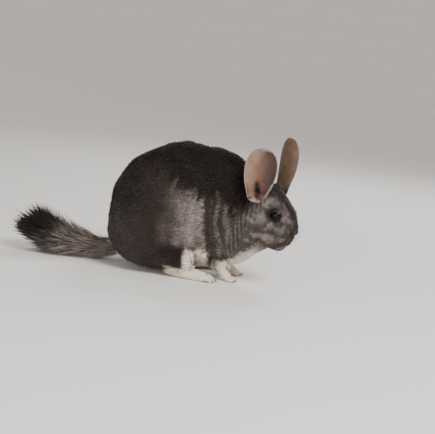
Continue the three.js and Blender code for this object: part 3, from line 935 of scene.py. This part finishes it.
def ear_points(share, across, front, ear):
    """A strip of a cylinder at each height. Across runs from -1 to 1, and front from the cup's inside, below
    zero, to its back."""
    across_axis, cup_axis, along_axis, foot = ear_frame(**ear)
    curl = EAR_CURL_LOW + (EAR_CURL_TIP - EAR_CURL_LOW) * share**0.7
    radius = ear_half_width(share) / curl
    rib = 1.2 * bell(across, 0.30, 0.12) * smooth(share, 0.08, 0.2) * (1 - smooth(share, 0.3, 0.7))
    rib = rib + 1.0 * bell(across, -0.35, 0.14) * smooth(share, 0.1, 0.22) * (1 - smooth(share, 0.25, 0.55))
    rim = 0.6 * smooth(np.abs(across), 0.84, 1.0) * smooth(share, 0.08, 0.2)
    depth = radius + front - np.where(front < 0, rib + rim, 0) * smooth(radius, 1, 5)
    pocket = 4.0 * bell(share, 0.15, 0.055) * bell(across, 0.0, 0.42)
    out = EAR_LOBE_OUT * np.maximum(1 - share / 0.25, 0) ** 2 - 4 * share**2 - pocket
    x = np.sin(across * curl) * depth
    y = radius - np.cos(across * curl) * depth + out
    high = share * ear["length"]
    return foot + x[..., None] * across_axis + y[..., None] * cup_axis + high[..., None] * along_axis


def ear_grid(ear, rows=90, columns=112):
    """Rings round the shell: the angle carries a point over the front, round the rim and back."""
    share = (0.499 - 0.499 * np.cos(np.linspace(0, np.pi, rows)))[:, None] + np.zeros((1, columns))
    angle = np.linspace(0, 2 * np.pi, columns, endpoint=False)[None, :]
    across = np.cos(angle) + 0 * share
    front = np.sin(angle) * EAR_THICKNESS / 2 * (1 - 0.4 * smooth(share, 0.1, 0.8))
    return ear_points(share, across, front, ear), share, across, front
print("widest place of an ear:", 2 * ear_half_width(np.linspace(0, 1, 50)).max().round(1), "mm")

# %% Ear skin
# the ear's tan and brown are painted light and painted shade on the two sides of its cup, and its darkest
# colour is the ear canal's painted shadow
EAR_PAINTED_LIGHT_TAN = paint(144, 118, 104)
EAR_PAINTED_SHADE_BROWN = paint(68, 49, 42)
EAR_RUST_AND_PAINTED_SHADE = paint(112, 74, 56)
EAR_RIM = paint(158, 142, 134)
EAR_PINK = paint(150, 118, 106)
EAR_CANAL_PAINTED_SHADOW = paint(26, 13, 8)
EAR_BACK = paint(104, 82, 68)


def ear_colour_at(share, across, front, hand):
    """Tan painted light at the cup's rear, brown painted shade in front, rust along the middle and as painted
    shade round the canal, the canal's painted shadow as a dark slot, a pink lobe and a pale rim.
    """
    # the inside starts as brown painted shade, and the rear of the cup is painted lit as tan
    rear = smooth(across * hand, -0.5, 0.9)
    inside = smooth(-front, -0.2, 0.2)
    inner = np.broadcast_to(EAR_PAINTED_SHADE_BROWN, (*share.shape, 3))
    inner = mixed(inner, EAR_PAINTED_LIGHT_TAN, 0.9 * rear * smooth(share, 0.1, 0.4))
    middle = bell(across * hand, 0.05 + 0.3 * (0.6 - share), 0.3)
    inner = mixed(inner, EAR_RUST_AND_PAINTED_SHADE, 0.8 * middle * bell(share, 0.45, 0.3))
    inner = mixed(inner, EAR_PINK, 0.85 * (1 - smooth(share, 0.05, 0.2)))
    inner = mixed(inner, EAR_PINK, 0.35 * bell(across * hand, 0.5, 0.25) * bell(share, 0.2, 0.12))
    # painted shade in rust round the hollow of the canal
    inner = mixed(inner, EAR_RUST_AND_PAINTED_SHADE, 0.7 * bell(across, 0.0, 0.5) * bell(share, 0.24, 0.12))
    # the canal's painted shadow, a dark slot
    slot = bell(across - 0.9 * (share - 0.2), -0.02, 0.17) * np.exp(-(((share - 0.205) / 0.155) ** 4))
    inner = mixed(inner, EAR_CANAL_PAINTED_SHADOW, np.clip(1.7 * slot, 0, 1))
    rim = np.maximum(smooth(np.abs(across), 0.88, 0.98), smooth(share, 0.94, 0.985))
    inner = mixed(inner, EAR_RIM, 0.75 * rim)
    outer = np.broadcast_to(EAR_BACK, (*share.shape, 3))
    outer = mixed(outer, CHARCOAL, 0.7 * (1 - smooth(share, 0.05, 0.5)))
    return mixed(outer, inner, inside)


ear_skin = Finish("ear skin", Roughness=0.5, Specular_IOR_Level=0.3)
veins = ear_skin.noise(150.0, 4.0)
ear_skin.own_colours(0.7 + 0.6 * veins)
ear_skin.relief(veins, 0.35, 0.0006)
ear_pieces = []
for name, ear in EARS.items():
    points, share, across, front = ear_grid(ear)
    piece = make_object(f"ear_skin_{name}", *closed_tube(points), ear_skin.material)
    colour = ear_colour_at(share, across, front, -SIDES[name])
    colour = colour * (1 + 0.08 * waves(points, 10, 61)[..., None])
    ends = np.stack([colour[0].mean(0), colour[-1].mean(0)])
    colour_attribute(piece.data, np.clip(np.concatenate([colour.reshape(-1, 3), ends]), 0, 1))
    ear_pieces.append(piece)
print(len(ear_pieces), "ears of", len(piece.data.vertices), "vertices")

# %% [markdown]
# ## The lie of the coat
# On the trunk the fur runs back and down, on the head from the nose back over the cheeks, on the feet towards
# the toes and on the tail towards its tip. The tufts are long on the trunk and short on the face and the
# feet. Smooth waves turn and lengthen them a little, so that the coat clumps as real plush does.

# %% Lie, length and place of the tufts
EYE_RADIUS = 6.4
EYE_SUNK = 3.5
LID_MIDDLE = 1.5
LID_MARGIN = 0.6


def eye_place(hand):
    """The eyeball's centre, a little under the coat's surface, and the way it looks."""
    way = unit(np.array([0.3, hand, 0.1]))
    brow = ray_surface(skull_field, (0, 4 * hand, 0), way[None])[0]
    outward = way @ HEAD_AXES
    return from_head(brow) - outward * EYE_SUNK, outward


EYES = {name: eye_place(hand) for name, hand in SIDES.items()}


def lie_of_coat(points):
    """Back and down, mixed by masks with the ways of head, feet and tail, then swayed by waves and chance."""
    x, y, z = points.T
    aside = 0.25 * np.sign(y) * smooth(np.abs(y), 5, 25)
    down = -0.35 - 0.5 * smooth(-x, 20, 70)
    lie = unit(np.stack([-np.ones_like(x), aside, down], -1))
    head_way = -forward + 0.35 * np.sign(to_head(points)[:, 1:2]) * leftward - 0.25 * upward
    toes = np.stack([np.ones_like(x), 0 * x, -0.4 - 0.9 * smooth(z, 9, 18)], -1)
    index = (along_tail(points) * (len(tail_path) - 2)).astype(int)
    tail_way = unit(tail_path[index + 1] - tail_path[index])
    for way, mask in ((head_way, headness(points)), (toes, footness(points)), (tail_way, tailness(points))):
        lie = unit(lie * (1 - mask[:, None]) + way * mask[:, None])
    sway = np.stack([waves(points, 26, seed) for seed in (21, 22, 23)], -1)
    fine = rng.normal(size=points.shape)
    return lie + 0.16 * sway + 0.24 * fine


def clear_of_eyes(points):
    """True where a root lies outside the lids of both eyes."""
    free = np.full(len(points), True)
    for centre, outward in EYES.values():
        away = np.linalg.norm(points - centre - outward * LID_MIDDLE, axis=-1)
        free &= away > EYE_RADIUS + LID_MARGIN
    return free


def clear_of_ears(points):
    """True where a point doesn't stand in the cup of an ear: share is its height, side its place across, and
    deep how far it lies before the wall."""
    free = np.full(len(points), True)
    for ear in EARS.values():
        across_axis, cup_axis, along_axis, foot = ear_frame(**ear)
        share = (points - foot) @ along_axis / ear["length"]
        inside = np.clip(share, 0, 1)
        side = (points - foot) @ across_axis / ear_half_width(inside)
        deep = (points - ear_points(inside, np.clip(side, -1, 1), np.zeros(len(points)), ear)) @ cup_axis
        free &= (share < -0.02) | (share > 0.7) | (np.abs(side) > 0.95) | (deep > 9) | (deep < -1.2)
    return free


skin_middle = skin_where[skin_triangles].mean(1)
head_share = headness(skin_middle)
foot_share = footness(skin_middle)
tail_share = tailness(skin_middle)
print("head, foot and tail shares of the skin:", head_share.mean().round(2), foot_share.mean().round(2),
      tail_share.mean().round(2))

# %% Trunk coat
TRUNK_TUFTS = 90000
TRUNK_PARTS = 6
TRUNK_LIFT = 34
UNWRAP_CENTRE = np.array([-15, 0, 66])
knee = smooth(skin_middle[:, 0], -8, 0) * (1 - smooth(skin_middle[:, 0], 30, 38))
knee = knee * (1 - smooth(skin_middle[:, 2], 32, 42))
weight = (1 - head_share) * (1 - foot_share) * (1 - tail_share) * (1 + 1.5 * knee) + 1e-6
where, normal = scattered(skin_triangles, weight, TRUNK_TUFTS, 31)
lift = np.radians(TRUNK_LIFT + 5 * waves(where, 18, 41) + rng.normal(0, 4, len(where)))
depth = coat_depth(where)
throat_side = smooth(where[:, 0], 44, 54) * smooth(where[:, 2], 28, 40)
tall = way_out(where, normal, 1.0, depth * (1.1 + 0.7 * throat_side))
low_front = smooth(normal[:, 0], 0.1, 0.6) * smooth(where[:, 0], 0, 10) * (1 - smooth(where[:, 2], 32, 44))
tall = tall * (1 - 0.45 * low_front)
uneven = 0.96 + 0.03 * waves(where, 9, 42) + rng.normal(0, 0.05, len(where))
length = tall / np.sin(np.radians(TRUNK_LIFT)) * uneven
width = 0.5 * (0.75 + 0.06 * depth) * rng.uniform(0.75, 1.25, len(where))
shade = 1 + 0.13 * waves(where, 4, 43) + 0.06 * waves(where, 14, 45) + rng.normal(0, 0.08, len(where))
lie = lie_of_coat(where)
colour = tuft_colour(where, normal, lie, length, lift, shade)
from_centre = where - UNWRAP_CENTRE
around = np.arctan2(from_centre[:, 1], from_centre[:, 2])
from_front = np.arccos(np.clip(from_centre[:, 0] / np.linalg.norm(from_centre, axis=-1), -1, 1)) / np.pi
borders = np.quantile(around, np.linspace(0, 1, TRUNK_PARTS + 1))
trunk_pieces = []
for part, (low, high) in enumerate(zip(borders[:-1], borders[1:])):
    own = (around >= low) & (around < high if part < TRUNK_PARTS - 1 else around <= high)
    bake_at = np.stack([(around[own] - low) / (high - low), from_front[own]], -1) * 0.98 + 0.01
    trunk_pieces.append(tuft_mesh(f"coat_trunk_{part + 1}", where[own], normal[own], lie[own], length[own],
                                  width[own], lift[own], colour[own], bake_at))
print(len(trunk_pieces), "pieces of trunk coat with", TRUNK_TUFTS, "tufts")

# %% Head coat
HEAD_TUFTS = 30000
where, normal = scattered(skin_triangles, head_share * (1 - foot_share) + 1e-7, HEAD_TUFTS, 32)
keep = clear_of_eyes(where) & (headness(where) > 0.02)
where, normal = where[keep], normal[keep]
local = to_head(where)
local_ray = local - HEAD_CENTRE
longitude = np.arctan2(local_ray[:, 1], local_ray[:, 0])
latitude = np.arccos(np.clip(local_ray[:, 2] / np.linalg.norm(local_ray, axis=-1), -1, 1))
bake_all = np.stack([longitude / (2 * np.pi) + 0.5, latitude / np.pi], -1) * 0.98 + 0.01
small = smooth(local[:, 0], -20, 18)
length = way_out(where, normal, 0.9, 7.0) / 0.46 * rng.uniform(0.9, 1.12, len(where))
width = (0.46 - 0.18 * small) * rng.uniform(0.8, 1.2, len(where))
lift = np.radians(29 - 5 * small + rng.normal(0, 4, len(where)))
shade = 1 + 0.08 * waves(where, 4, 44) + rng.normal(0, 0.09, len(where))
lie = lie_of_coat(where)
colour = tuft_colour(where, normal, lie, length, lift, shade)
free = clear_of_ears(where) & clear_of_ears(seen_at(where, normal, lie, length, lift))
head_pieces = []
for part, own in (("left", free & (local[:, 1] > 0)), ("right", free & (local[:, 1] <= 0))):
    bake_at = bake_all[own].copy()
    bake_at[:, 0] = bake_at[:, 0] * 2 - (1 if part == "left" else 0)
    head_pieces.append(tuft_mesh(f"coat_head_{part}", where[own], normal[own], lie[own], length[own],
                                 width[own], lift[own], colour[own], np.clip(bake_at, 0.01, 0.99)))
print(free.sum(), "tufts on the head")

# %% Feet coat
FOOT_TUFTS = 8000
where, normal = scattered(skin_triangles, foot_share + 1e-7, FOOT_TUFTS, 33)
keep = (where[:, 2] > 0.8) & (normal[:, 2] > -0.55)
where, normal = where[keep], normal[keep]
fore = where[:, 0] > 28
left = where[:, 1] > 0
ring_angle = np.arctan2(where[:, 2] - 4, np.abs(where[:, 1]) - np.where(fore, 19, 36))
along_foot = smooth(where[:, 0] - 0.5 * where[:, 2], -30, 60)
bake_at = np.stack([(left + (ring_angle / (2 * np.pi) + 0.5)) / 2, (fore + along_foot) / 2], -1) * 0.98 + 0.01
up_leg = smooth(where[:, 2], 9, 22)
length = 3.0 * rng.uniform(0.8, 1.2, len(where)) * (1 + 0.8 * up_leg)
width = 0.34 * rng.uniform(0.8, 1.2, len(where)) * (1 + 0.5 * up_leg)
lift = np.radians(rng.normal(14, 3, len(where)))
shade = 1 + rng.normal(0, 0.06, len(where))
colour = np.clip(coat_colour(where) * shade[:, None], 0, 1)
feet_coat = tuft_mesh("coat_feet", where, normal, lie_of_coat(where), length, width, lift, colour, bake_at)
print(len(where), "tufts on the feet")

# %% [markdown]
# ## The brush of the tail
# The tail's long, bristly hair names the animal from a step away. It is drawn as tapered locks of four sides
# and three bends, rooted on the thin tail, that leave it steeply on top and lie flatter below. They are grey
# near the body and almost black at the end.

# %% Lock maker
LOCK_FLATNESS = 0.45


def lock_mesh(name, line, side, half, colours, bake_at):
    """Rings of four points round each centre line, flat across, closed by a tip: line is (count, steps, 3)."""
    count, steps, _ = line.shape
    rings = steps - 1
    tangent = unit(np.gradient(line, axis=1))
    side = laid_flat(side[:, None], tangent)
    over = np.cross(tangent, side)
    angle = np.radians([0, 90, 180, 270])
    sideways = np.cos(angle)[None, None, :, None] * side[:, :rings, None]
    outwards = LOCK_FLATNESS * np.sin(angle)[None, None, :, None] * over[:, :rings, None]
    body = line[:, :rings, None] + (sideways + outwards) * half[:, :rings, None, None]
    vertices = np.concatenate([body.reshape(count, -1, 3), line[:, -1:]], 1)
    pattern = [[0, 2, 1], [0, 3, 2]]
    for ring in range(rings - 1):
        for i in range(4):
            a, b = ring * 4 + i, ring * 4 + (i + 1) % 4
            pattern += [[a, b, b + 4], [a, b + 4, a + 4]]
    last = (rings - 1) * 4
    pattern += [[last + i, last + (i + 1) % 4, rings * 4] for i in range(4)]
    # painted shade towards a lock's root and painted light at its tip
    shade = np.append(np.repeat(np.linspace(0.6, 1.0, rings), 4), 1.1)
    shrink = np.repeat(np.linspace(1, 0.25, rings), 4)[:, None]
    petals = np.tile(np.stack([np.cos(angle), np.sin(angle)], -1), (rings, 1)) * shrink * PATCH / 2
    flower = np.concatenate([petals, np.zeros((1, 2))])
    shaded = colours[:, None] * shade[None, :, None]
    return strands(name, vertices, np.array(pattern), flower, 2, shaded, bake_at)


print("a lock is", LOCK_FLATNESS, "times as thick as it is wide")

# %% Roots and ways of the locks
TAIL_LOCKS = 6400
LOCK_SAG = 2.2
LOCK_FLOOR = 0.4
tail_tangent = unit(np.gradient(tail_path, axis=0))
tail_side = unit(np.cross([0, 0, 1.0], tail_tangent))
tail_rise = np.cross(tail_tangent, tail_side)
place_on = rng.uniform(0.0, 1.0, TAIL_LOCKS) ** 0.9 * 0.99
index = (place_on * (len(tail_path) - 1)).astype(int)
angle = rng.uniform(-np.pi, np.pi, TAIL_LOCKS)
out = unit(np.cos(angle)[:, None] * tail_side[index] + np.sin(angle)[:, None] * tail_rise[index])
top = np.maximum(np.sin(angle), 0)
below = np.maximum(-np.sin(angle), 0)
late = smooth(place_on, -0.02, 0.5)
core = np.interp(place_on, np.linspace(0, 1, len(TAIL_RADII)), TAIL_RADII)
root = tail_path[index] + out * (core * 0.8)[:, None]
fullness = 1 + 0.22 * top * (1 - place_on) - 0.34 * below * (1 - 0.7 * late)
lock_length = (13 + 22 * late) * fullness * rng.uniform(0.75, 1.12, TAIL_LOCKS)
steep = np.radians(32 + 22 * top - 8 * below + 6 * late * top + rng.normal(0, 6, TAIL_LOCKS))
lean = steep * (0.25 + 0.30 * top * late)
wobble = rng.normal(0, 0.16, (TAIL_LOCKS, 3))
leave = unit(out * np.sin(steep)[:, None] + tail_tangent[index] * np.cos(steep)[:, None] + wobble)
settle = unit(out * np.sin(lean)[:, None] + tail_tangent[index] * np.cos(lean)[:, None] + 0.7 * wobble)
t = np.linspace(0, 1, 5)[None, :, None]
bent = leave[:, None] * (t - 0.5 * t**2) + settle[:, None] * 0.5 * t**2
lines = root[:, None] + lock_length[:, None, None] * bent
lines[..., 2] -= LOCK_SAG * (t[..., 0] ** 2) * top[:, None]
lines[..., 2] = np.maximum(lines[..., 2], LOCK_FLOOR + 0.25 * np.abs(lines[..., 2] - LOCK_FLOOR))
half = rng.uniform(0.45, 0.8, TAIL_LOCKS)[:, None] * np.array([0.9, 1.0, 0.85, 0.5])[None]
half = np.concatenate([half, np.zeros((TAIL_LOCKS, 1))], 1)
print("locks", lock_length.min().round(1), "to", lock_length.max().round(1), "mm long")

# %% Colours of the locks
tip_place = np.clip(place_on + 0.18 * late * lock_length / 34, 0, 1)
dark_end = smooth(tip_place + 0.05 * waves(root, 9, 12) + rng.normal(0, 0.05, TAIL_LOCKS), 0.62, 0.92)
streak = smooth(waves(root, 7, 51) + rng.normal(0, 0.6, TAIL_LOCKS) + 0.4 * top - 0.6 * below, 0.0, 0.9)
pale = smooth(below + rng.normal(0, 0.25, TAIL_LOCKS), 0.3, 1.0)
colour = mixed(np.broadcast_to(TAIL_GREY, root.shape), TAIL_PALE, 0.7 * pale)
colour = mixed(colour, CHARCOAL, 0.55 * streak)
colour = mixed(colour, TAIL_BLACK, dark_end * (1 - 0.25 * below))
colour = np.clip(colour * (1 + rng.normal(0, 0.12, TAIL_LOCKS))[:, None], 0, 1)
bake_at = np.stack([place_on, angle / (2 * np.pi) + 0.5], -1) * 0.98 + 0.01
tail_coat = lock_mesh("coat_tail", lines, np.cross(out, tail_tangent[index]), half, colour, bake_at)
print(TAIL_LOCKS, "locks on the tail")

# %% [markdown]
# Short pale hairs fringe the front rim of each ear near its foot, and a fine dark fuzz covers its back.

# %% Ear hair
FRINGE_TUFTS = 150
FUZZ_TUFTS = 3600
fringe_pieces = []
for name, ear in EARS.items():
    across_axis, cup_axis, along_axis, foot = ear_frame(**ear)
    share = rng.uniform(0.10, 0.38, FRINGE_TUFTS)
    across = np.sign(across_axis @ forward) * rng.uniform(0.90, 1.0, FRINGE_TUFTS)
    fringe_root = ear_points(share, across, np.zeros(FRINGE_TUFTS), ear)
    fringe_way = forward * 0.5 + 0.6 * cup_axis + 0.9 * along_axis + rng.normal(0, 0.3, (FRINGE_TUFTS, 3))
    fringe_normal = np.broadcast_to(unit(forward + cup_axis), fringe_root.shape)
    fuzz_share = rng.uniform(0.03, 0.96, FUZZ_TUFTS)
    fuzz_across = rng.uniform(-0.97, 0.97, FUZZ_TUFTS)
    fuzz_root = ear_points(fuzz_share, fuzz_across, np.full(FUZZ_TUFTS, 0.45), ear)
    outside = ear_points(fuzz_share, fuzz_across, np.full(FUZZ_TUFTS, 1.45), ear)
    fuzz_normal = unit(outside - fuzz_root)
    fuzz_way = along_axis + rng.normal(0, 0.2, (FUZZ_TUFTS, 3))
    fringe_length = rng.uniform(2.0, 4.0, FRINGE_TUFTS)
    fuzz_length = 2.4 * (1 - 0.5 * smooth(fuzz_share, 0.1, 0.5)) * rng.uniform(0.8, 1.2, FUZZ_TUFTS)
    fringe_lift = rng.uniform(5, 30, FRINGE_TUFTS)
    fuzz_lift = rng.uniform(8, 16, FUZZ_TUFTS)
    dark = 0.8 * (1 - smooth(fuzz_share, 0.05, 0.5))
    fuzz_colour = mixed(np.broadcast_to(EAR_BACK, fuzz_root.shape), CHARCOAL, dark)
    where = np.concatenate([fringe_root, fuzz_root])
    normal = np.concatenate([fringe_normal, fuzz_normal])
    lie = np.concatenate([fringe_way, fuzz_way])
    length = np.concatenate([fringe_length, fuzz_length])
    width = np.repeat([0.16, 0.28], [FRINGE_TUFTS, FUZZ_TUFTS])
    lift = np.radians(np.concatenate([fringe_lift, fuzz_lift]))
    colour = np.concatenate([np.broadcast_to(FACE_PALE, fringe_root.shape), fuzz_colour])
    bake_across = np.concatenate([across, fuzz_across]) / 2 + 0.5
    bake_at = np.stack([bake_across, np.concatenate([share, fuzz_share])], -1) * 0.96 + 0.02
    hair = tuft_mesh(f"coat_ear_{name}", where, normal, lie, length, width, lift, colour, bake_at)
    fringe_pieces.append(hair)
print(len(fringe_pieces), "pieces of ear hair")

# %% [markdown]
# ## Eyes and lids
# The eyes are large, black and wet, and set in the sides of the head. Each is a ball in a socket, framed by a
# dark lid: a band that hugs the ball from its opening back to the socket.

# %% Eyes
LID_ACROSS = 5.3
LID_UP = 4.2


def lid_grid(centre, outward, rows=14, columns=72):
    """Angle from the gaze grows from the opening's edge to beyond the ball's equator."""
    along = unit(np.cross([0, 0, 1.0], outward))
    rise = np.cross(outward, along)
    angle = np.linspace(0, 2 * np.pi, columns, endpoint=False)[None, :]
    corner = 1 + 0.10 * np.cos(angle) ** 8
    opening = 1 / np.sqrt((np.cos(angle) / (LID_ACROSS * corner)) ** 2 + (np.sin(angle) / LID_UP) ** 2)
    start = np.arcsin(np.minimum(opening / EYE_RADIUS, 0.985))
    t = np.linspace(0, 1, rows)[:, None]
    psi = start + (np.radians(112) - start) * np.maximum(t - 0.15, 0) / 0.85
    lip = np.sin(np.pi * np.clip(t / 0.3, 0, 1) ** 0.8)
    radius = EYE_RADIUS + 0.12 + 0.55 * lip + 0.9 * smooth(t, 0.25, 0.7) - 1.4 * smooth(t, 0.75, 1)
    ring = np.cos(angle)[..., None] * along + np.sin(angle)[..., None] * rise
    return centre + radius[..., None] * (np.cos(psi)[..., None] * outward + np.sin(psi)[..., None] * ring)


def band_object(name, outer, material, wall=0.45):
    """A band made a closed wall: the outer grid and a second one a little inside it share their edges."""
    middle = outer.mean((0, 1))
    inner = outer - unit(outer - middle) * wall
    loop = np.concatenate([outer, inner[::-1]], 0)
    rows, columns, _ = loop.shape
    faces = grid_faces(rows, columns).tolist()
    around = np.arange(columns)
    following = (around + 1) % columns
    last = (rows - 1) * columns
    faces += np.stack([last + around, last + following, following, around], -1).tolist()
    return make_object(name, loop.reshape(-1, 3), faces, material)


eye_pieces, lid_pieces = {}, []
for name, (centre, outward) in EYES.items():
    ball = centre + EYE_RADIUS * round_rays(48, 64)
    eye_pieces[name] = make_object(f"eyeball_{name}", *closed_tube(ball), eye_gloss.material)
    lid_pieces.append(band_object(f"eyelid_{name}", lid_grid(centre, outward), bare.material))
print("eyes at", EYES["right"][0].round(1), EYES["left"][0].round(1))

# %% [markdown]
# ## Nose, lips, claws and whiskers
# The nose is a small dark pad with two slits that curve outwards. The lip is cleft below it, and the mouth is
# a short line set far under. Whiskers of three to four centimetres grow from the pads beside the nose.

# %% Nose and mouth
def nose_grid(rows=60, columns=80):
    """An ellipsoid of which two spots are pushed in by a bell curve, as the nostrils."""
    ray = round_rays(rows, columns)[..., [2, 0, 1]]
    centre, size = np.array([24.4, 0, -7.0]), np.array([3.0, 4.6, 3.2])
    points = centre + ray * size
    folded = np.stack([points[..., 0], np.abs(points[..., 1]), points[..., 2]], -1)
    away = np.linalg.norm((folded - [27.0, 2.5, -7.9]) / [1.6, 1.15, 1.0], axis=-1)
    crease = np.exp(-(points[..., 1] / 0.35) ** 2) * smooth(-(points[..., 2] + 7.0), 0.5, 2)
    dent = 1.5 * np.exp(-(away**2)) + 0.5 * crease
    return from_head(points - ray * dent[..., None])


nose = make_object("nose_pad", *closed_tube(nose_grid()), bare.material)

MOUTH_CENTRE = np.array([10.0, 0, -17])


def mouth_stop(side, drop, sink):
    """The point where a ray from inside the muzzle leaves the face, moved out by sink."""
    way = unit(np.array([1.0, side, drop]))
    return ray_surface(skull_field, MOUTH_CENTRE, way[None])[0] + way * sink


mouth_sides = np.linspace(-1.0, 1.0, 9)
mouth_stops = [mouth_stop(side, -0.52 - 0.16 * side * side, -0.35) for side in mouth_sides]
mouth_tube = from_head(tube_rings(mouth_stops, [0.3, 0.75, 0.8, 0.75, 0.3], rows=40, columns=10))
cleft_stops = [mouth_stop(0, drop, -0.3) for drop in (0.22, 0.0, -0.25, -0.5)]
cleft_tube = from_head(tube_rings(cleft_stops, [0.4, 0.55, 0.6], rows=20, columns=10))
mouth = make_object("mouth_line", *heaped([mouth_tube, cleft_tube]), bare.material)
print("mouth corners at", from_head(mouth_stops[0]).round(0), from_head(mouth_stops[-1]).round(0))

# %% Claws and whiskers
claw_tubes = []
for hand in SIDES.values():
    tips = [(TOES[0] - 3 + length, TOES[1] + spread * 1.35, 2.2, 2.6)
            for spread, length in zip(HIND_SPREADS, HIND_LENGTHS)]
    tips += [(PALM[0] - 1 + length, PALM[1] + spread * 1.2, 1.6, 1.9)
             for spread, length in zip(FORE_SPREADS, FORE_LENGTHS)]
    for x, y, z, size in tips:
        stops = [(x - 0.8, y, z), (x + 0.7 * size, y, z + 0.1), (x + 1.2 * size, y, z - 0.9)]
        stops = [mirrored(stop, hand) for stop in stops]
        claw_tubes.append(tube_rings(stops, [0.30 * size, 0.24 * size, 0.1], rows=8, columns=8))
claws = make_object("claws", *heaped(claw_tubes), horn.material)

WHISKERS = 15
whisker_tubes = []
for hand in SIDES.values():
    for i in range(WHISKERS):
        row, column = i % 3, i // 3
        ray = unit(np.array([0.75 - 0.22 * column, hand, 0.18 - 0.28 * row]))
        spot = ray_surface(skull_field, (12, 4 * hand, -15), ray[None])[0]
        sweep = unit(np.array([-0.25 - 0.12 * column + rng.normal(0, 0.06), 0.62 * hand,
                               0.10 - 0.26 * row + rng.normal(0, 0.07)]))
        long = rng.uniform(30, 40) * (1 - 0.06 * column)
        start_way = unit(np.array([0.25, 1.0 * hand, 0.05 - 0.15 * row]))
        ahead = start_way * long
        aside = sweep * long
        droop = np.array([-0.08, 0, -0.10]) * long
        stops = [spot - start_way, spot + ahead * 0.22, spot + ahead * 0.25 + aside * 0.42,
                 spot + ahead * 0.22 + aside * 0.85 + droop]
        whisker_tubes.append(from_head(tube_rings(stops, [0.16, 0.13, 0.09, 0.03], rows=14, columns=4)))
whiskers = make_object("whiskers", *heaped(whisker_tubes), whisker_hair.material)
print(len(claw_tubes), "claws and", len(whisker_tubes), "whiskers")

# %% [markdown]
# ## Hand over to the shared frame
# The seamless skin and its coat take the place of the solids of flesh, and the eyes and ears that of their
# own. Every piece rides on the one body that this still animal has.

# %% Ride and replace
FLESH = ["torso", "neck", "head", "thigh_left", "thigh_right", "foreleg_left", "foreleg_right",
         "hind_foot_left", "hind_foot_right", "tail_base", "tail_brush"]
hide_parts(*FLESH)
for name in SIDES:
    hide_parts(f"eye_{name}")
for name, piece in zip(EARS, ear_pieces):
    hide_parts(f"ear_{name}")
pieces = [skin, *trunk_pieces, *head_pieces, feet_coat, tail_coat, *ear_pieces, *fringe_pieces,
          *eye_pieces.values(), *lid_pieces, nose, mouth, claws, whiskers]
for piece in pieces:
    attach(piece, "root")
triangle_count = sum(sum(len(polygon.vertices) - 2 for polygon in piece.data.polygons) for piece in pieces)
print(len(pieces), "pieces with", triangle_count, "triangles")

# %% [markdown]
# ## Floor, light and camera
# The floor is a wide pale bowl, flat in the middle, so that no horizon shows from any side. A large soft
# light stands above and to the camera's right, a weaker one fills in from the left, and a third lights the
# outline from behind. The camera looks from the animal's right, a little above it, and is rolled to one side.

# %% Floor
FLOOR_RADIUS = 1500


def bowl_grid(rows=40, columns=96):
    """Rings about the middle: flat out to the floor's radius, then a quarter circle up to the rim."""
    flat = np.linspace(20, FLOOR_RADIUS, rows // 2)
    bend = np.linspace(0, np.pi / 2, rows - rows // 2 + 1)[1:]
    radius = np.concatenate([flat, FLOOR_RADIUS + FLOOR_RADIUS * np.sin(bend)])
    height = np.concatenate([0 * flat, FLOOR_RADIUS * (1 - np.cos(bend))])
    angle = np.linspace(0, 2 * np.pi, columns, endpoint=False)
    return np.stack([radius[:, None] * np.cos(angle), radius[:, None] * np.sin(angle),
                     height[:, None] + 0 * angle], -1)


paper = Finish("pale paper", Roughness=0.9, Specular_IOR_Level=0.1)
paper.plain((0.80, 0.78, 0.76))
bowl = bowl_grid()
bowl_faces = grid_faces(*bowl.shape[:2]).tolist() + [list(range(bowl.shape[1]))]
floor_mesh = bpy.data.meshes.new("floor")
floor_mesh.from_pydata((bowl.reshape(-1, 3) * MM).tolist(), [], bowl_faces)
floor_mesh.materials.append(paper.material)
floor = add_object("floor", floor_mesh)
print("floor of", len(bowl_faces), "faces")


# %% Light and camera
def area_light(name, where, aim, size, power, colour):
    """A round soft light at a place, turned to its aim."""
    data = bpy.data.lights.new(name, "AREA")
    data.shape = "DISK"
    data.size = size
    data.energy = power
    data.color = colour
    light = add_object(name, data)
    light.location = where
    light.rotation_euler = (Vector(aim) - Vector(where)).to_track_quat("-Z", "Y").to_euler()
    return light


AIM = (0.04, 0, 0.07)
lights = [
    area_light("key", (0.85, -0.75, 1.1), AIM, 0.6, 22, (1.0, 0.97, 0.93)),
    area_light("fill", (-0.25, -1.3, 0.3), AIM, 0.9, 8, (1.0, 0.98, 0.96)),
    area_light("rim", (0.3, 1.0, 0.9), AIM, 0.6, 8, (1.0, 0.97, 0.94)),
]
world = bpy.data.worlds.new("studio air")
world.use_nodes = True
world.node_tree.nodes["Background"].inputs["Color"].default_value = (1.0, 0.97, 0.94, 1)
world.node_tree.nodes["Background"].inputs["Strength"].default_value = 0.55
bpy.context.scene.world = world

AZIMUTH, ELEVATION, ROLL = map(math.radians, (10.0, 9.0, 6.8))
DISTANCE = 1210.0
FOCAL_PIXELS = 1100.0
IMAGE_WIDTH = 435
FILM_WIDTH = 36
LOOK_RIGHT = 25.6
LOOK_ABOVE = 63.2
back = np.array([math.sin(AZIMUTH) * math.cos(ELEVATION), -math.cos(AZIMUTH) * math.cos(ELEVATION),
                 math.sin(ELEVATION)])
right = np.array([math.cos(AZIMUTH), math.sin(AZIMUTH), 0])
above = np.cross(back, right)
look_at = right * LOOK_RIGHT + above * LOOK_ABOVE
camera_x = right * math.cos(ROLL) + above * math.sin(ROLL)
camera_y = above * math.cos(ROLL) - right * math.sin(ROLL)
camera_data = bpy.data.cameras.new("camera")
camera_data.sensor_width = FILM_WIDTH
camera_data.lens = FILM_WIDTH * FOCAL_PIXELS / IMAGE_WIDTH
camera_data.clip_start = 0.05
camera = add_object("camera", camera_data)
rotation = Matrix(np.stack([camera_x, camera_y, back], 1).tolist()).to_4x4()
camera.matrix_world = Matrix.Translation(place(look_at + back * DISTANCE).tolist()) @ rotation
bpy.context.scene.camera = camera
print("camera at", [round(value, 3) for value in camera.matrix_world.translation])
